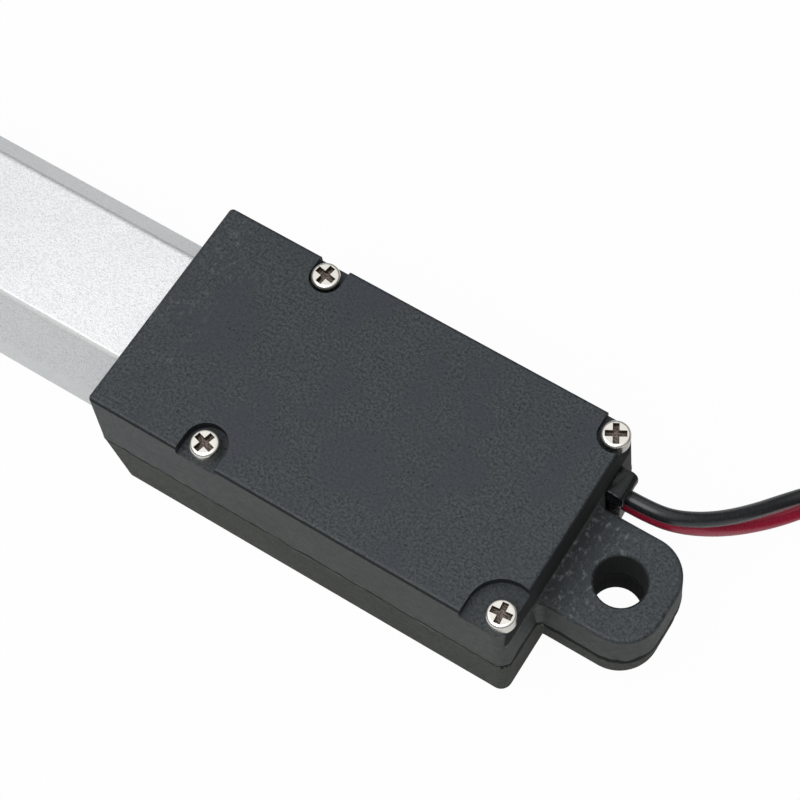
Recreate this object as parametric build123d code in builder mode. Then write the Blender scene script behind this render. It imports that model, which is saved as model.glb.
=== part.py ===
# Micro linear actuator: a two-shell moulded gear housing with a rear pivot lug, an
# aluminium tube, and a push rod that a geared motor drives through a lead screw.
# The origin is on the rear pivot bore's axis, in the plane where the shells part.
# +X points along the rod, +Z out of the upper shell. Sizes are in millimetres.

from build123d import *
import os
from math import acos, cos, degrees, pi, radians, sin, tan

os.makedirs("parts", exist_ok=True)

# Gear housing
rear_face_x = 4.9
housing_length = 37.9
housing_width = 20.0
upper_height = 7.6
lower_height = 8.4
end_draft = 0.4
side_draft = 0.2
lower_inset = 0.2
rear_corner_radius = 1.0
front_corner_radius = 0.4
rim_radius = 0.35
rear_wall = 2.0
drive_y = -0.5
socket_depth = 4.6

# Rear pivot lug
pivot_bore_radius = 2.1
lug_width = 9.6
lug_tip_x = -4.5
lug_corner_radius = 3.4
lug_flare = 0.8
lug_root_depth = 0.5
lug_top = 4.1
lug_bottom = -3.5
lug_draft = 0.15
lug_edge_radius = 0.35
bore_lip = 0.17

# Housing screws, in pockets open to the sides, listed rear before front and +Y before -Y
screw_inset_rear = 0.9
screw_inset_front = 10.2
screw_side_inset = 1.5
screw_radius = 0.7
screw_head_radius = 1.2
screw_head_height = 1.35
screw_head_round = 0.3
screw_length = 12.6
recess_arm = 1.75
recess_slot = 0.53
recess_depth = 0.6
recess_turns = [6, 29, 74, 80]
pocket_depth = 0.9
pocket_radii = [2.85, 1.5, 1.85, 1.4]
screw_clearance = 0.05
screw_hole_spare = 0.5

# Locating pins and lightening slots of the shells
pin_inset = 5.3
pin_offset = 7.7
pin_radius = 0.6
pin_height = 1.2
pin_clearance = 0.05
slot_pin_gap = 1.8
slot_screw_gap = 3.0
slot_width = 1.3
slot_offset = 7.85
slot_floor = 1.6

# Motor
motor_width = 12.0
motor_height = 10.0
lead_space = 2.8
motor_edge_radius = 0.3
motor_clearance = 0.1
end_cap_thickness = 0.8
end_cap_inset = 0.3
end_cap_boss_radius = 1.7
end_cap_boss_height = 0.6
terminal_thickness = 0.3
terminal_width = 1.3
terminal_length = 1.9
terminal_offset = 3.6
motor_shaft_radius = 0.5
motor_shaft_grip = 4.0
shaft_clearance = 0.03

# Gear train: equal pairs that step back and forth between two parallel axes
gear_module = 0.2
small_teeth = 10
large_teeth = 22
pressure_angle = 30.0
addendum = 0.16
dedendum = 0.21
backlash = 0.04
gear_face = 1.3
gear_gap = 0.3
first_gear_gap = 0.3
gear_pin_radius = 0.4
gear_bore_clearance = 0.03
stage_count = 4

# Gearbox frame
plate_thickness = 0.8
plate_corner_radius = 1.0
plate_end_gap = 0.5
plate_bay_gap = 0.4
plate_window_radius = 1.6
pillar_radius = 0.8
pillar_inset = 1.0

# Lead screw
screw_spigot_radius = 0.5
screw_gear_seat_radius = 1.0
lead_screw_radius = 1.5
screw_collar_radius = 2.0
screw_collar_width = 0.5
journal_clearance = 0.05
lead_screw_overrun = 1.5
lead_screw_chamfer = 0.5
spigot_relief = 0.05

# Ball bearing and its clip
bearing_radius = 4.0
bearing_width = 3.0
bearing_inner_shoulder = 2.3
bearing_outer_shoulder = 3.2
ball_radius = 0.68
ball_count = 7
ball_clearance = 0.02
bearing_gap = 0.05
web_thickness = 0.8
web_rear_opening = 2.6
web_front_opening = 3.1
clip_radius = 2.6
clip_thickness = 0.4
clip_groove_radius = 1.2
clip_mouth = 1.6

# Outer tube
tube_width = 15.8
tube_height = 11.0
tube_top_width = 10.7
tube_slant_height = 3.6
tube_wall = 1.2
tube_corner_radius = 0.7
tube_clearance = 0.1
peg_radius = 1.0
peg_reach = 0.9
peg_inset = 2.4

# Front cap, rod bush and seal
cap_flange_thickness = 2.5
cap_flange_margin = 0.5
cap_plug_length = 6.7
cap_plug_clearance = 0.1
cap_edge_radius = 0.6
cap_screw_inset = 3.4
cap_screw_length = 3.4
cap_screw_head_height = 0.7
bush_radius = 3.5
bush_length = 6.4
bush_clearance = 0.05
seal_radius = 4.2
seal_width = 1.8
seal_depth = 2.2
seal_clearance = 0.04

# Push rod, nut and carrier
stroke = 30.0
rod_radius = 3.0
rod_bore_radius = 2.2
rod_reveal = 2.5
nut_flange_radius = 3.6
nut_flange_width = 1.7
nut_sleeve_length = 5.0
nut_clearance = 0.05
carrier_socket_gap = 3.3
carrier_length = 5.0
carrier_slide_clearance = 0.15
carrier_seat = 0.3
carrier_bore_clearance = 0.03

# Rod end
rod_end_bore_radius = 2.1
rod_end_bore_reach = 7.0
rod_end_width = 8.0
rod_end_thickness = 6.0
rod_end_collar = 1.2
rod_end_edge_radius = 0.5
shank_length = 6.0
shank_clearance = 0.02
rod_pin_radius = 0.6
rod_pin_inset = 1.3
rod_pin_clearance = 0.02

# Limit switch board beside the rod
board_thickness = 0.6
board_height_spare = 0.8
board_wall_gap = 0.1
board_carrier_gap = 0.3
board_switch_margin = 0.45
board_cap_gap = 0.4
switch_length = 2.4
switch_depth = 1.5
switch_height_spare = 0.2
plunger_radius = 0.4
plunger_reach = 0.5
plunger_length = 1.2
plunger_travel = 0.25
plunger_gap = 0.05
plunger_clearance = 0.03

# Leads and their exit
lead_radius = 0.65
lead_side_inset = 3.4
black_lead_z = 2.05
red_lead_z = 0.68
grommet_face_x = 3.1
grommet_top = 4.3
grommet_bottom = -1.6
grommet_half_width = 1.3
grommet_edge_radius = 0.6
grommet_neck_half_width = 0.85
grommet_neck_top = 2.9
grommet_clearance = 0.05
lead_clearance = 0.02
inner_lead_x = 7.6
inner_lead_bend = 0.8
coil_center_x = -17.8
coil_center_y = -21.5
coil_inner_radius = 5.0
coil_outer_radius = 8.9
coil_height = 2.6
tip_radius = 0.35
tip_length = 4.5
tip_offset = 3.7

# Places worked out from the sizes above
housing_mid_x = rear_face_x + housing_length / 2
front_face_x = rear_face_x + housing_length
bay_rear_x = rear_face_x + rear_wall
stage_pitch = gear_face + gear_gap
socket_x = front_face_x - socket_depth
bearing_front_x = socket_x - web_thickness
bearing_rear_x = bearing_front_x - bearing_width
bearing_mid_x = bearing_rear_x + bearing_width / 2
bay_front_x = bearing_rear_x - web_thickness
front_plate_x = bay_front_x - plate_bay_gap - plate_thickness
last_gear_end_x = front_plate_x - plate_end_gap
first_gear_x = last_gear_end_x - stage_count * stage_pitch + gear_gap
gearbox_rear_x = first_gear_x - first_gear_gap
motor_front_x = gearbox_rear_x - plate_thickness
motor_rear_x = bay_rear_x + lead_space
motor_length = motor_front_x - motor_rear_x
pin_x = rear_face_x + pin_inset
slot_start_x = pin_x + slot_pin_gap
slot_end_x = front_face_x - screw_inset_front - slot_screw_gap
slot_top = upper_height - slot_floor
tube_rear_x = socket_x + tube_clearance
peg_x = socket_x + peg_inset
gear_offset = gear_module * (small_teeth + large_teeth) / 2
bay_half_width = motor_width / 2 + motor_clearance
bay_half_height = motor_height / 2 + motor_clearance
carrier_rear_x = socket_x + carrier_socket_gap
carrier_front_x = carrier_rear_x + carrier_length
nut_rear_x = carrier_rear_x + carrier_seat
rod_rear_x = nut_rear_x + nut_flange_width
lead_screw_end_x = carrier_front_x + stroke + lead_screw_overrun
retract_face_x = carrier_rear_x - plunger_gap - plunger_reach
extend_face_x = carrier_front_x + stroke + plunger_gap + plunger_reach
board_front_x = extend_face_x + switch_length + board_switch_margin
cap_rear_x = board_front_x + board_cap_gap
tube_end_x = cap_rear_x + cap_plug_length
cap_front_x = tube_end_x + cap_flange_thickness
cap_screw_x = tube_end_x - cap_screw_inset
rod_front_x = cap_front_x + rod_reveal
rod_pin_x = rod_front_x - rod_pin_inset
rod_end_bore_x = rod_front_x + rod_end_bore_reach
board_y = tube_width / 2 - tube_wall - board_wall_gap - board_thickness / 2
board_height = tube_height - 2 * tube_slant_height - board_height_spare
switch_y = board_y - board_thickness / 2 - switch_depth / 2
switch_height = board_height - switch_height_spare
carrier_side_y = board_y - board_thickness / 2 - board_carrier_gap
lead_y = drive_y - housing_width / 2 + lead_side_inset
floor_z = -lower_height
drive_axis = Axis((0, drive_y, 0), (1, 0, 0))

screw_places = [
    (rear_face_x + screw_inset_rear, housing_width / 2 - screw_side_inset),
    (rear_face_x + screw_inset_rear, screw_side_inset - housing_width / 2),
    (front_face_x - screw_inset_front, housing_width / 2 - screw_side_inset),
    (front_face_x - screw_inset_front, screw_side_inset - housing_width / 2),
]

# The free leads' routes, chosen by hand, from the grommet to their coils
black_route = [
    (grommet_face_x, lead_y, black_lead_z),
    (1.0, lead_y, black_lead_z),
    (-1.0, -7.8, 1.4),
    (-3.3, -9.9, -0.3),
    (-5.3, -12.7, -2.2),
    (-7.2, -16.0, -4.1),
    (-9.2, -18.8, -5.15),
    (-9.55, -21.5, -5.15),
]
red_route = [
    (grommet_face_x, lead_y, red_lead_z),
    (0.7, lead_y, red_lead_z),
    (-1.6, -8.1, -0.3),
    (-3.5, -10.3, -3.1),
    (-5.3, -12.8, -5.6),
    (-7.3, -15.6, -7.3),
    (-9.2, -18.3, -7.75),
    (-9.55, -21.5, -7.75),
]


# A plane across the drive axis, with its own axes along +Y and +Z
def station(x):
    return Plane(origin=(x, drive_y, 0), x_dir=(0, 1, 0), z_dir=(1, 0, 0))


# The plane along the drive axis in which turned parts are drawn, by X and radius
def turning_plane():
    return Plane(origin=(0, drive_y, 0), x_dir=(1, 0, 0), z_dir=(0, -1, 0))


# The housing's outline at one height
def housing_outline(z, grow_end, grow_side):
    with BuildSketch(Plane.XY.offset(z)) as outline:
        with Locations((housing_mid_x, drive_y)):
            Rectangle(housing_length + 2 * grow_end, housing_width + 2 * grow_side)
    return outline.sketch


# The lug's outline at one height: round tip corners, and a flare where it joins the housing
def lug_outline(z, shrink):
    half_width = lug_width / 2 - shrink
    tip_x = lug_tip_x + shrink
    root_x = rear_face_x + lug_root_depth
    flare_x = rear_face_x - end_draft / 2
    flare_y = half_width + lug_flare
    with BuildSketch(Plane.XY.offset(z)) as outline:
        with BuildLine():
            root = Line((root_x, flare_y), (flare_x, flare_y))
            flare = JernArc(root @ 1, (0, -1), lug_flare, -90)
            side = Line(flare @ 1, (tip_x + lug_corner_radius, half_width))
            corner = JernArc(side @ 1, (-1, 0), lug_corner_radius, 90)
            Line(corner @ 1, (tip_x, 0))
            mirror(about=Plane.XZ)
            Line((root_x, flare_y), (root_x, -flare_y))
        make_face()
    return outline.sketch


# The tube's outline: a flat top and bottom, slanted shoulders and short upright sides
def tube_outline(x, inset, corner_radius):
    side_y = tube_width / 2
    top_y = tube_top_width / 2
    top_z = tube_height / 2
    shoulder_z = top_z - tube_slant_height
    with BuildSketch(station(x)) as outline:
        with BuildLine():
            Polyline((0, top_z), (top_y, top_z), (side_y, shoulder_z), (side_y, 0))
            mirror(about=Plane.XZ)
            mirror(about=Plane.YZ)
        make_face()
        if corner_radius > 0:
            fillet(outline.vertices(), corner_radius)
        if inset != 0:
            offset(amount=-inset, kind=Kind.INTERSECTION)
    return outline.sketch


# Half a tooth's thickness at one radius of an involute gear
def half_thickness(teeth, radius):
    pitch_radius = gear_module * teeth / 2
    base_radius = pitch_radius * cos(radians(pressure_angle))
    flank_angle = acos(min(1, base_radius / radius))
    spread = tan(flank_angle) - flank_angle
    pitch_spread = tan(radians(pressure_angle)) - radians(pressure_angle)
    half_angle = pi / (2 * teeth) - backlash / (2 * pitch_radius) + pitch_spread - spread
    return radius * sin(half_angle)


# A spur gear's outline on its own axis, with one tooth at the given turn from +Y
def gear_outline(x, teeth, turn, offset_y=0.0, bore=0.0):
    pitch_radius = gear_module * teeth / 2
    root_radius = pitch_radius - dedendum
    tip_radius_here = pitch_radius + addendum
    steps = [root_radius - backlash, root_radius, pitch_radius, tip_radius_here]
    rising = [(radius, half_thickness(teeth, radius)) for radius in steps]
    falling = [(radius, -half) for radius, half in reversed(rising)]
    with BuildSketch(station(x)) as outline:
        with Locations((offset_y, 0)):
            Circle(root_radius)
            with PolarLocations(0, teeth, start_angle=turn):
                Polygon(*rising, *falling, align=None)
            if bore > 0:
                Circle(bore, mode=Mode.SUBTRACT)
    return outline.sketch


# A plain disc or bore across the drive axis
def round_outline(x, radius, offset_y=0.0):
    with BuildSketch(station(x)) as outline:
        with Locations((offset_y, 0)):
            Circle(radius)
    return outline.sketch


# The flat-sided round outline that the motor can and its end cap share
def motor_outline(x, inset):
    with BuildSketch(station(x)) as outline:
        Circle(motor_width / 2 - inset)
        Rectangle(motor_width, motor_height - 2 * inset, mode=Mode.INTERSECT)
    return outline.sketch


# A gearbox plate's outline, with its centre hole and the gear pin's hole
def plate_outline(x, center_hole):
    with BuildSketch(station(x)) as outline:
        RectangleRounded(motor_width, motor_height, plate_corner_radius)
        Circle(center_hole, mode=Mode.SUBTRACT)
        with Locations((gear_offset, 0)):
            Circle(gear_pin_radius, mode=Mode.SUBTRACT)
    return outline.sketch


# The space that the drive takes up in both shells
def drive_cavity():
    with BuildPart() as cavity:
        with Locations(((bay_rear_x + bay_front_x) / 2, drive_y, 0)):
            Box(bay_front_x - bay_rear_x, 2 * bay_half_width, 2 * bay_half_height)
        extrude(round_outline(bay_front_x, web_rear_opening), amount=web_thickness)
        extrude(round_outline(bearing_rear_x, bearing_radius + bearing_gap), amount=bearing_width)
        extrude(round_outline(bearing_front_x, web_front_opening), amount=web_thickness)
        extrude(
            tube_outline(socket_x, -tube_clearance, tube_corner_radius),
            amount=front_face_x + end_draft - socket_x,
        )
        with Locations(((slot_start_x + slot_end_x) / 2, drive_y)):
            with GridLocations(0, 2 * slot_offset, 1, 2):
                Box(slot_end_x - slot_start_x, slot_width, 2 * slot_top)
    return cavity.part


# A pan head screw with a cross recess, its head standing on z = 0
def pan_screw(length, head_height, turn):
    with BuildPart() as screw:
        with Locations((0, 0, head_height / 2)):
            Cylinder(screw_head_radius, head_height)
        fillet(screw.edges().sort_by(Axis.Z)[-1], screw_head_round)
        with Locations((0, 0, -length / 2)):
            Cylinder(screw_radius, length)
        with BuildSketch(Plane.XY.offset(head_height)):
            with PolarLocations(0, 2, start_angle=turn, angular_range=180):
                Rectangle(recess_arm, recess_slot)
        extrude(amount=-recess_depth, mode=Mode.SUBTRACT)
    return screw.part


# A small limit switch, its face at x and its plunger hole pointing along +X or -X
def limit_switch(face_x, facing):
    with BuildPart() as switch:
        with Locations((face_x - facing * switch_length / 2, drive_y + switch_y, 0)):
            Box(switch_length, switch_depth, switch_height)
        hole_depth = plunger_length - plunger_reach + plunger_travel + plunger_clearance
        extrude(
            round_outline(face_x, plunger_radius + plunger_clearance, switch_y),
            amount=-facing * hole_depth,
            mode=Mode.SUBTRACT,
        )
    return switch.part


# Upper shell: the drafted block and its half of the lug
with BuildPart() as upper_housing:
    loft([housing_outline(0, end_draft, side_draft), housing_outline(upper_height, 0, 0)], ruled=True)
    upright = upper_housing.edges().filter_by(lambda edge: edge.bounding_box().size.Z > upper_height / 2)
    fillet(upright.sort_by(Axis.X)[:2], rear_corner_radius)
    upright = upper_housing.edges().filter_by(lambda edge: edge.bounding_box().size.Z > upper_height / 2)
    fillet(upright.sort_by(Axis.X)[-2:], front_corner_radius)
    fillet(upper_housing.faces().sort_by(Axis.Z)[-1].edges(), rim_radius)
    loft([lug_outline(0, 0), lug_outline(lug_top, lug_draft)], ruled=True)
    lug_face = upper_housing.faces().filter_by(Axis.Z).filter_by_position(
        Axis.Z, lug_top - 0.01, lug_top + 0.01
    )
    rim = lug_face.edges().filter_by(lambda edge: edge.center().X < rear_face_x - end_draft)
    fillet(rim, lug_edge_radius)
    # Screw pockets and holes
    for (x, y), pocket_radius in zip(screw_places, pocket_radii):
        with BuildSketch(Plane.XY.offset(upper_height)):
            with Locations((x, y + drive_y)):
                Circle(pocket_radius)
            side_y = housing_width / 2 + side_draft
            with Locations((x, drive_y + (abs(y) + side_y) / 2 * (1 if y > 0 else -1))):
                Rectangle(2 * pocket_radius, side_y - abs(y))
        extrude(amount=-pocket_depth, mode=Mode.SUBTRACT)
        with Locations((x, y + drive_y, upper_height / 2)):
            Cylinder(screw_radius + screw_clearance, upper_height, mode=Mode.SUBTRACT)
    # Inside: the drive's space, the way in for the leads, and the locating pins' sockets
    add(drive_cavity(), mode=Mode.SUBTRACT)
    with Locations((bay_rear_x, lead_y - grommet_neck_half_width, 0)):
        Box(lead_space, bay_half_width, bay_half_height, align=Align.MIN, mode=Mode.SUBTRACT)
    with Locations((rear_face_x + rear_wall / 2, lead_y, grommet_neck_top / 2)):
        Box(
            rear_wall + 2 * end_draft,
            2 * (grommet_neck_half_width + grommet_clearance),
            grommet_neck_top + 2 * grommet_clearance,
            mode=Mode.SUBTRACT,
        )
    with Locations((grommet_face_x, lead_y, (grommet_top + grommet_bottom) / 2)):
        Box(
            2 * (rear_face_x - grommet_face_x),
            2 * (grommet_half_width + grommet_clearance),
            grommet_top - grommet_bottom + 2 * grommet_clearance,
            mode=Mode.SUBTRACT,
        )
    with Locations((pin_x, drive_y, 0)):
        with GridLocations(0, 2 * pin_offset, 1, 2):
            Cylinder(pin_radius + pin_clearance, 2 * (pin_height + pin_clearance), mode=Mode.SUBTRACT)
    # The peg that holds the tube
    peg_root = tube_height / 2 + tube_clearance
    with Locations((peg_x, drive_y, peg_root - peg_reach / 2)):
        Cylinder(peg_radius, peg_reach)
    # The pivot bore, with a small lip
    with Locations((0, 0, lug_top / 2)):
        Cylinder(pivot_bore_radius, lug_top, mode=Mode.SUBTRACT)
    bore_edges = upper_housing.edges().filter_by(GeomType.CIRCLE).filter_by(
        lambda edge: abs(edge.radius - pivot_bore_radius) < 0.001 and edge.center().X < 0.1
    )
    chamfer(bore_edges.sort_by(Axis.Z)[-1], bore_lip)
upper_housing.part.label = "upper_housing"
export_step(upper_housing.part, "parts/upper_housing.step")

# Lower shell
with BuildPart() as lower_housing:
    loft(
        [housing_outline(0, end_draft, side_draft), housing_outline(-lower_height, 0, -lower_inset)],
        ruled=True,
    )
    upright = lower_housing.edges().filter_by(lambda edge: edge.bounding_box().size.Z > lower_height / 2)
    fillet(upright.sort_by(Axis.X)[:2], rear_corner_radius)
    upright = lower_housing.edges().filter_by(lambda edge: edge.bounding_box().size.Z > lower_height / 2)
    fillet(upright.sort_by(Axis.X)[-2:], front_corner_radius)
    fillet(lower_housing.faces().sort_by(Axis.Z)[0].edges(), rim_radius)
    loft([lug_outline(0, 0), lug_outline(lug_bottom, lug_draft)], ruled=True)
    lug_face = lower_housing.faces().filter_by(Axis.Z).filter_by_position(
        Axis.Z, lug_bottom - 0.01, lug_bottom + 0.01
    )
    rim = lug_face.edges().filter_by(lambda edge: edge.center().X < rear_face_x - end_draft)
    fillet(rim, lug_edge_radius)
    # Blind holes for the housing screws
    hole_depth = screw_length - (upper_height - pocket_depth) + screw_hole_spare
    for x, y in screw_places:
        with Locations((x, y + drive_y, -hole_depth / 2)):
            Cylinder(screw_radius + screw_clearance, hole_depth, mode=Mode.SUBTRACT)
    add(drive_cavity(), mode=Mode.SUBTRACT)
    # The seat of the lead grommet
    with Locations((grommet_face_x, lead_y, (grommet_top + grommet_bottom) / 2)):
        Box(
            2 * (rear_face_x - grommet_face_x),
            2 * (grommet_half_width + grommet_clearance),
            grommet_top - grommet_bottom + 2 * grommet_clearance,
            mode=Mode.SUBTRACT,
        )
    with Locations((pin_x, drive_y, 0)):
        with GridLocations(0, 2 * pin_offset, 1, 2):
            Cylinder(pin_radius, pin_height, align=(Align.CENTER, Align.CENTER, Align.MIN))
    with Locations((peg_x, drive_y, -peg_root + peg_reach / 2)):
        Cylinder(peg_radius, peg_reach)
    with Locations((0, 0, lug_bottom / 2)):
        Cylinder(pivot_bore_radius, -lug_bottom, mode=Mode.SUBTRACT)
    bore_edges = lower_housing.edges().filter_by(GeomType.CIRCLE).filter_by(
        lambda edge: abs(edge.radius - pivot_bore_radius) < 0.001 and edge.center().X < 0.1
    )
    chamfer(bore_edges.sort_by(Axis.Z)[0], bore_lip)
lower_housing.part.label = "lower_housing"
export_step(lower_housing.part, "parts/lower_housing.step")

# The four screws that close the housing
with BuildPart() as housing_screws:
    for (x, y), turn in zip(screw_places, recess_turns):
        with Locations((x, y + drive_y, upper_height - pocket_depth)):
            add(pan_screw(screw_length, screw_head_height, turn))
housing_screws.part.label = "housing_screws"
export_step(housing_screws.part, "parts/housing_screws.step")

# Outer tube, with holes for the housing's pegs and the cap's screws
with BuildPart() as outer_tube:
    extrude(tube_outline(tube_rear_x, 0, tube_corner_radius), amount=tube_end_x - tube_rear_x)
    extrude(
        tube_outline(tube_rear_x, tube_wall, 0),
        amount=tube_end_x - tube_rear_x,
        mode=Mode.SUBTRACT,
    )
    with Locations((peg_x, drive_y, 0)):
        Cylinder(peg_radius + tube_clearance, tube_height, mode=Mode.SUBTRACT)
    with Locations((cap_screw_x, drive_y, 0)):
        Cylinder(screw_radius + screw_clearance, tube_width, rotation=(90, 0, 0), mode=Mode.SUBTRACT)
outer_tube.part.label = "outer_tube"
export_step(outer_tube.part, "parts/outer_tube.step")

# Front cap: a flange outside the tube and a plug inside it
with BuildPart() as front_cap:
    extrude(tube_outline(tube_end_x, -cap_flange_margin, tube_corner_radius), amount=cap_flange_thickness)
    fillet(front_cap.faces().sort_by(Axis.X)[-1].edges(), cap_edge_radius)
    extrude(tube_outline(cap_rear_x, tube_wall + cap_plug_clearance, 0), amount=cap_plug_length)
    extrude(round_outline(cap_rear_x, bush_radius), amount=cap_front_x - cap_rear_x, mode=Mode.SUBTRACT)
    extrude(round_outline(cap_front_x - seal_depth, seal_radius), amount=seal_depth, mode=Mode.SUBTRACT)
    with Locations((cap_screw_x, drive_y, 0)):
        Cylinder(screw_radius + screw_clearance, tube_width, rotation=(90, 0, 0), mode=Mode.SUBTRACT)
front_cap.part.label = "front_cap"
export_step(front_cap.part, "parts/front_cap.step")

# Two screws that hold the cap, from the tube's sides
with BuildPart() as front_cap_screws:
    for side in (1, -1):
        seat = Plane(origin=(cap_screw_x, drive_y + side * tube_width / 2, 0), z_dir=(0, side, 0))
        with Locations(seat):
            add(pan_screw(cap_screw_length, cap_screw_head_height, 0))
front_cap_screws.part.label = "front_cap_screws"
export_step(front_cap_screws.part, "parts/front_cap_screws.step")

# Bush and wiper seal round the rod
with BuildPart() as rod_bush:
    extrude(round_outline(cap_rear_x, bush_radius), amount=bush_length)
    extrude(round_outline(cap_rear_x, rod_radius + bush_clearance), amount=bush_length, mode=Mode.SUBTRACT)
rod_bush.part.label = "rod_bush"
export_step(rod_bush.part, "parts/rod_bush.step")

with BuildPart() as rod_seal:
    seal_x = cap_front_x - seal_depth
    extrude(round_outline(seal_x, seal_radius), amount=seal_width)
    fillet(rod_seal.edges().sort_by(Axis.X)[-1], seal_width / 4)
    extrude(round_outline(seal_x, rod_radius + seal_clearance), amount=seal_width, mode=Mode.SUBTRACT)
rod_seal.part.label = "rod_seal"
export_step(rod_seal.part, "parts/rod_seal.step")

# Push rod: a tube pinned to the rod end at the front and fixed to the nut at the rear
with BuildPart() as push_rod:
    extrude(round_outline(rod_rear_x, rod_radius), amount=rod_front_x - rod_rear_x)
    extrude(round_outline(rod_rear_x, rod_bore_radius), amount=rod_front_x - rod_rear_x, mode=Mode.SUBTRACT)
    with Locations((rod_pin_x, drive_y, 0)):
        Cylinder(rod_pin_radius + rod_pin_clearance, 2 * rod_radius, rotation=(90, 0, 0), mode=Mode.SUBTRACT)
push_rod.part.label = "push_rod"
export_step(push_rod.part, "parts/push_rod.step")

# Rod end: a flat eye whose bore is parallel to the rear pivot
with BuildPart() as rod_end:
    eye_root_x = rod_front_x + rod_end_collar
    extrude(
        round_outline(rod_front_x - shank_length, rod_bore_radius - shank_clearance),
        amount=shank_length,
    )
    extrude(round_outline(rod_front_x, rod_radius), amount=rod_end_collar)
    with BuildSketch(Plane.XY.offset(-rod_end_thickness / 2)):
        with Locations((rod_end_bore_x, drive_y)):
            Circle(rod_end_width / 2)
        with Locations(((eye_root_x + rod_end_bore_x) / 2, drive_y)):
            Rectangle(rod_end_bore_x - eye_root_x, rod_end_width)
    extrude(amount=rod_end_thickness)
    flats = rod_end.faces().filter_by(Axis.Z).sort_by(Axis.Z)
    flat_edges = flats[0].edges() + flats[-1].edges()
    fillet(flat_edges.filter_by(lambda edge: edge.center().X > eye_root_x + 0.01), rod_end_edge_radius)
    with Locations((rod_end_bore_x, drive_y, 0)):
        Cylinder(rod_end_bore_radius, rod_end_thickness, mode=Mode.SUBTRACT)
    with Locations((rod_pin_x, drive_y, 0)):
        Cylinder(rod_pin_radius + rod_pin_clearance, 2 * rod_radius, rotation=(90, 0, 0), mode=Mode.SUBTRACT)
rod_end.part.label = "rod_end"
export_step(rod_end.part, "parts/rod_end.step")

with BuildPart() as rod_end_pin:
    with Locations((rod_pin_x, drive_y, 0)):
        Cylinder(rod_pin_radius, 2 * (rod_radius - rod_pin_clearance), rotation=(90, 0, 0))
rod_end_pin.part.label = "rod_end_pin"
export_step(rod_end_pin.part, "parts/rod_end_pin.step")

# Drive nut, its flange held in the carrier and its sleeve in the rod
with BuildPart() as drive_nut:
    extrude(round_outline(nut_rear_x, nut_flange_radius), amount=nut_flange_width)
    extrude(round_outline(rod_rear_x, rod_bore_radius), amount=nut_sleeve_length)
    extrude(
        round_outline(nut_rear_x, lead_screw_radius + nut_clearance),
        amount=nut_flange_width + nut_sleeve_length,
        mode=Mode.SUBTRACT,
    )
drive_nut.part.label = "drive_nut"
export_step(drive_nut.part, "parts/drive_nut.step")

# Nut carrier: it follows the tube's inside, so the rod can't turn
with BuildPart() as nut_carrier:
    extrude(tube_outline(carrier_rear_x, tube_wall + carrier_slide_clearance, 0), amount=carrier_length)
    with Locations((carrier_rear_x + carrier_length / 2, drive_y + carrier_side_y, 0)):
        Box(
            carrier_length,
            tube_width,
            tube_height,
            align=(Align.CENTER, Align.MIN, Align.CENTER),
            mode=Mode.SUBTRACT,
        )
    extrude(
        round_outline(carrier_rear_x, nut_flange_radius + carrier_bore_clearance),
        amount=rod_rear_x - carrier_rear_x,
        mode=Mode.SUBTRACT,
    )
    extrude(
        round_outline(rod_rear_x, rod_radius + carrier_bore_clearance),
        amount=carrier_front_x - rod_rear_x,
        mode=Mode.SUBTRACT,
    )
nut_carrier.part.label = "nut_carrier"
export_step(nut_carrier.part, "parts/nut_carrier.step")

# Lead screw, turned from one bar: spigot, gear seat, journals, collar, clip groove and screw
with BuildPart() as lead_screw:
    spigot_x = first_gear_x + stage_pitch - spigot_relief
    seat_x = first_gear_x + 3 * stage_pitch - gear_gap / 2
    journal_x = last_gear_end_x + plate_end_gap / 2
    collar_x = bearing_rear_x - screw_collar_width
    groove_x = bearing_front_x + bearing_gap
    with BuildSketch(turning_plane()):
        with BuildLine():
            Polyline(
                (spigot_x, 0),
                (spigot_x, screw_spigot_radius),
                (seat_x, screw_spigot_radius),
                (seat_x, screw_gear_seat_radius),
                (journal_x, screw_gear_seat_radius),
                (journal_x, lead_screw_radius),
                (collar_x, lead_screw_radius),
                (collar_x, screw_collar_radius),
                (bearing_rear_x, screw_collar_radius),
                (bearing_rear_x, lead_screw_radius),
                (groove_x, lead_screw_radius),
                (groove_x, clip_groove_radius),
                (groove_x + clip_thickness, clip_groove_radius),
                (groove_x + clip_thickness, lead_screw_radius),
                (lead_screw_end_x - lead_screw_chamfer, lead_screw_radius),
                (lead_screw_end_x, lead_screw_radius - lead_screw_chamfer),
                (lead_screw_end_x, 0),
                close=True,
            )
        make_face()
    revolve(axis=drive_axis)
lead_screw.part.label = "lead_screw"
export_step(lead_screw.part, "parts/lead_screw.step")

# Clip that keeps the screw in the bearing
with BuildPart() as screw_clip:
    with BuildSketch(station(groove_x)):
        Circle(clip_radius)
        Circle(clip_groove_radius, mode=Mode.SUBTRACT)
        with Locations((0, -clip_radius)):
            Rectangle(clip_mouth, 2 * clip_radius, mode=Mode.SUBTRACT)
    extrude(amount=clip_thickness)
screw_clip.part.label = "screw_clip"
export_step(screw_clip.part, "parts/screw_clip.step")

# Ball bearing
ball_pitch_radius = (bearing_inner_shoulder + bearing_outer_shoulder) / 2
with BuildPart() as bearing_inner_ring:
    with BuildSketch(turning_plane()):
        with Locations((bearing_mid_x, (lead_screw_radius + bearing_inner_shoulder) / 2)):
            Rectangle(bearing_width, bearing_inner_shoulder - lead_screw_radius)
        with Locations((bearing_mid_x, ball_pitch_radius)):
            Circle(ball_radius + ball_clearance, mode=Mode.SUBTRACT)
    revolve(axis=drive_axis)
bearing_inner_ring.part.label = "bearing_inner_ring"
export_step(bearing_inner_ring.part, "parts/bearing_inner_ring.step")

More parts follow.
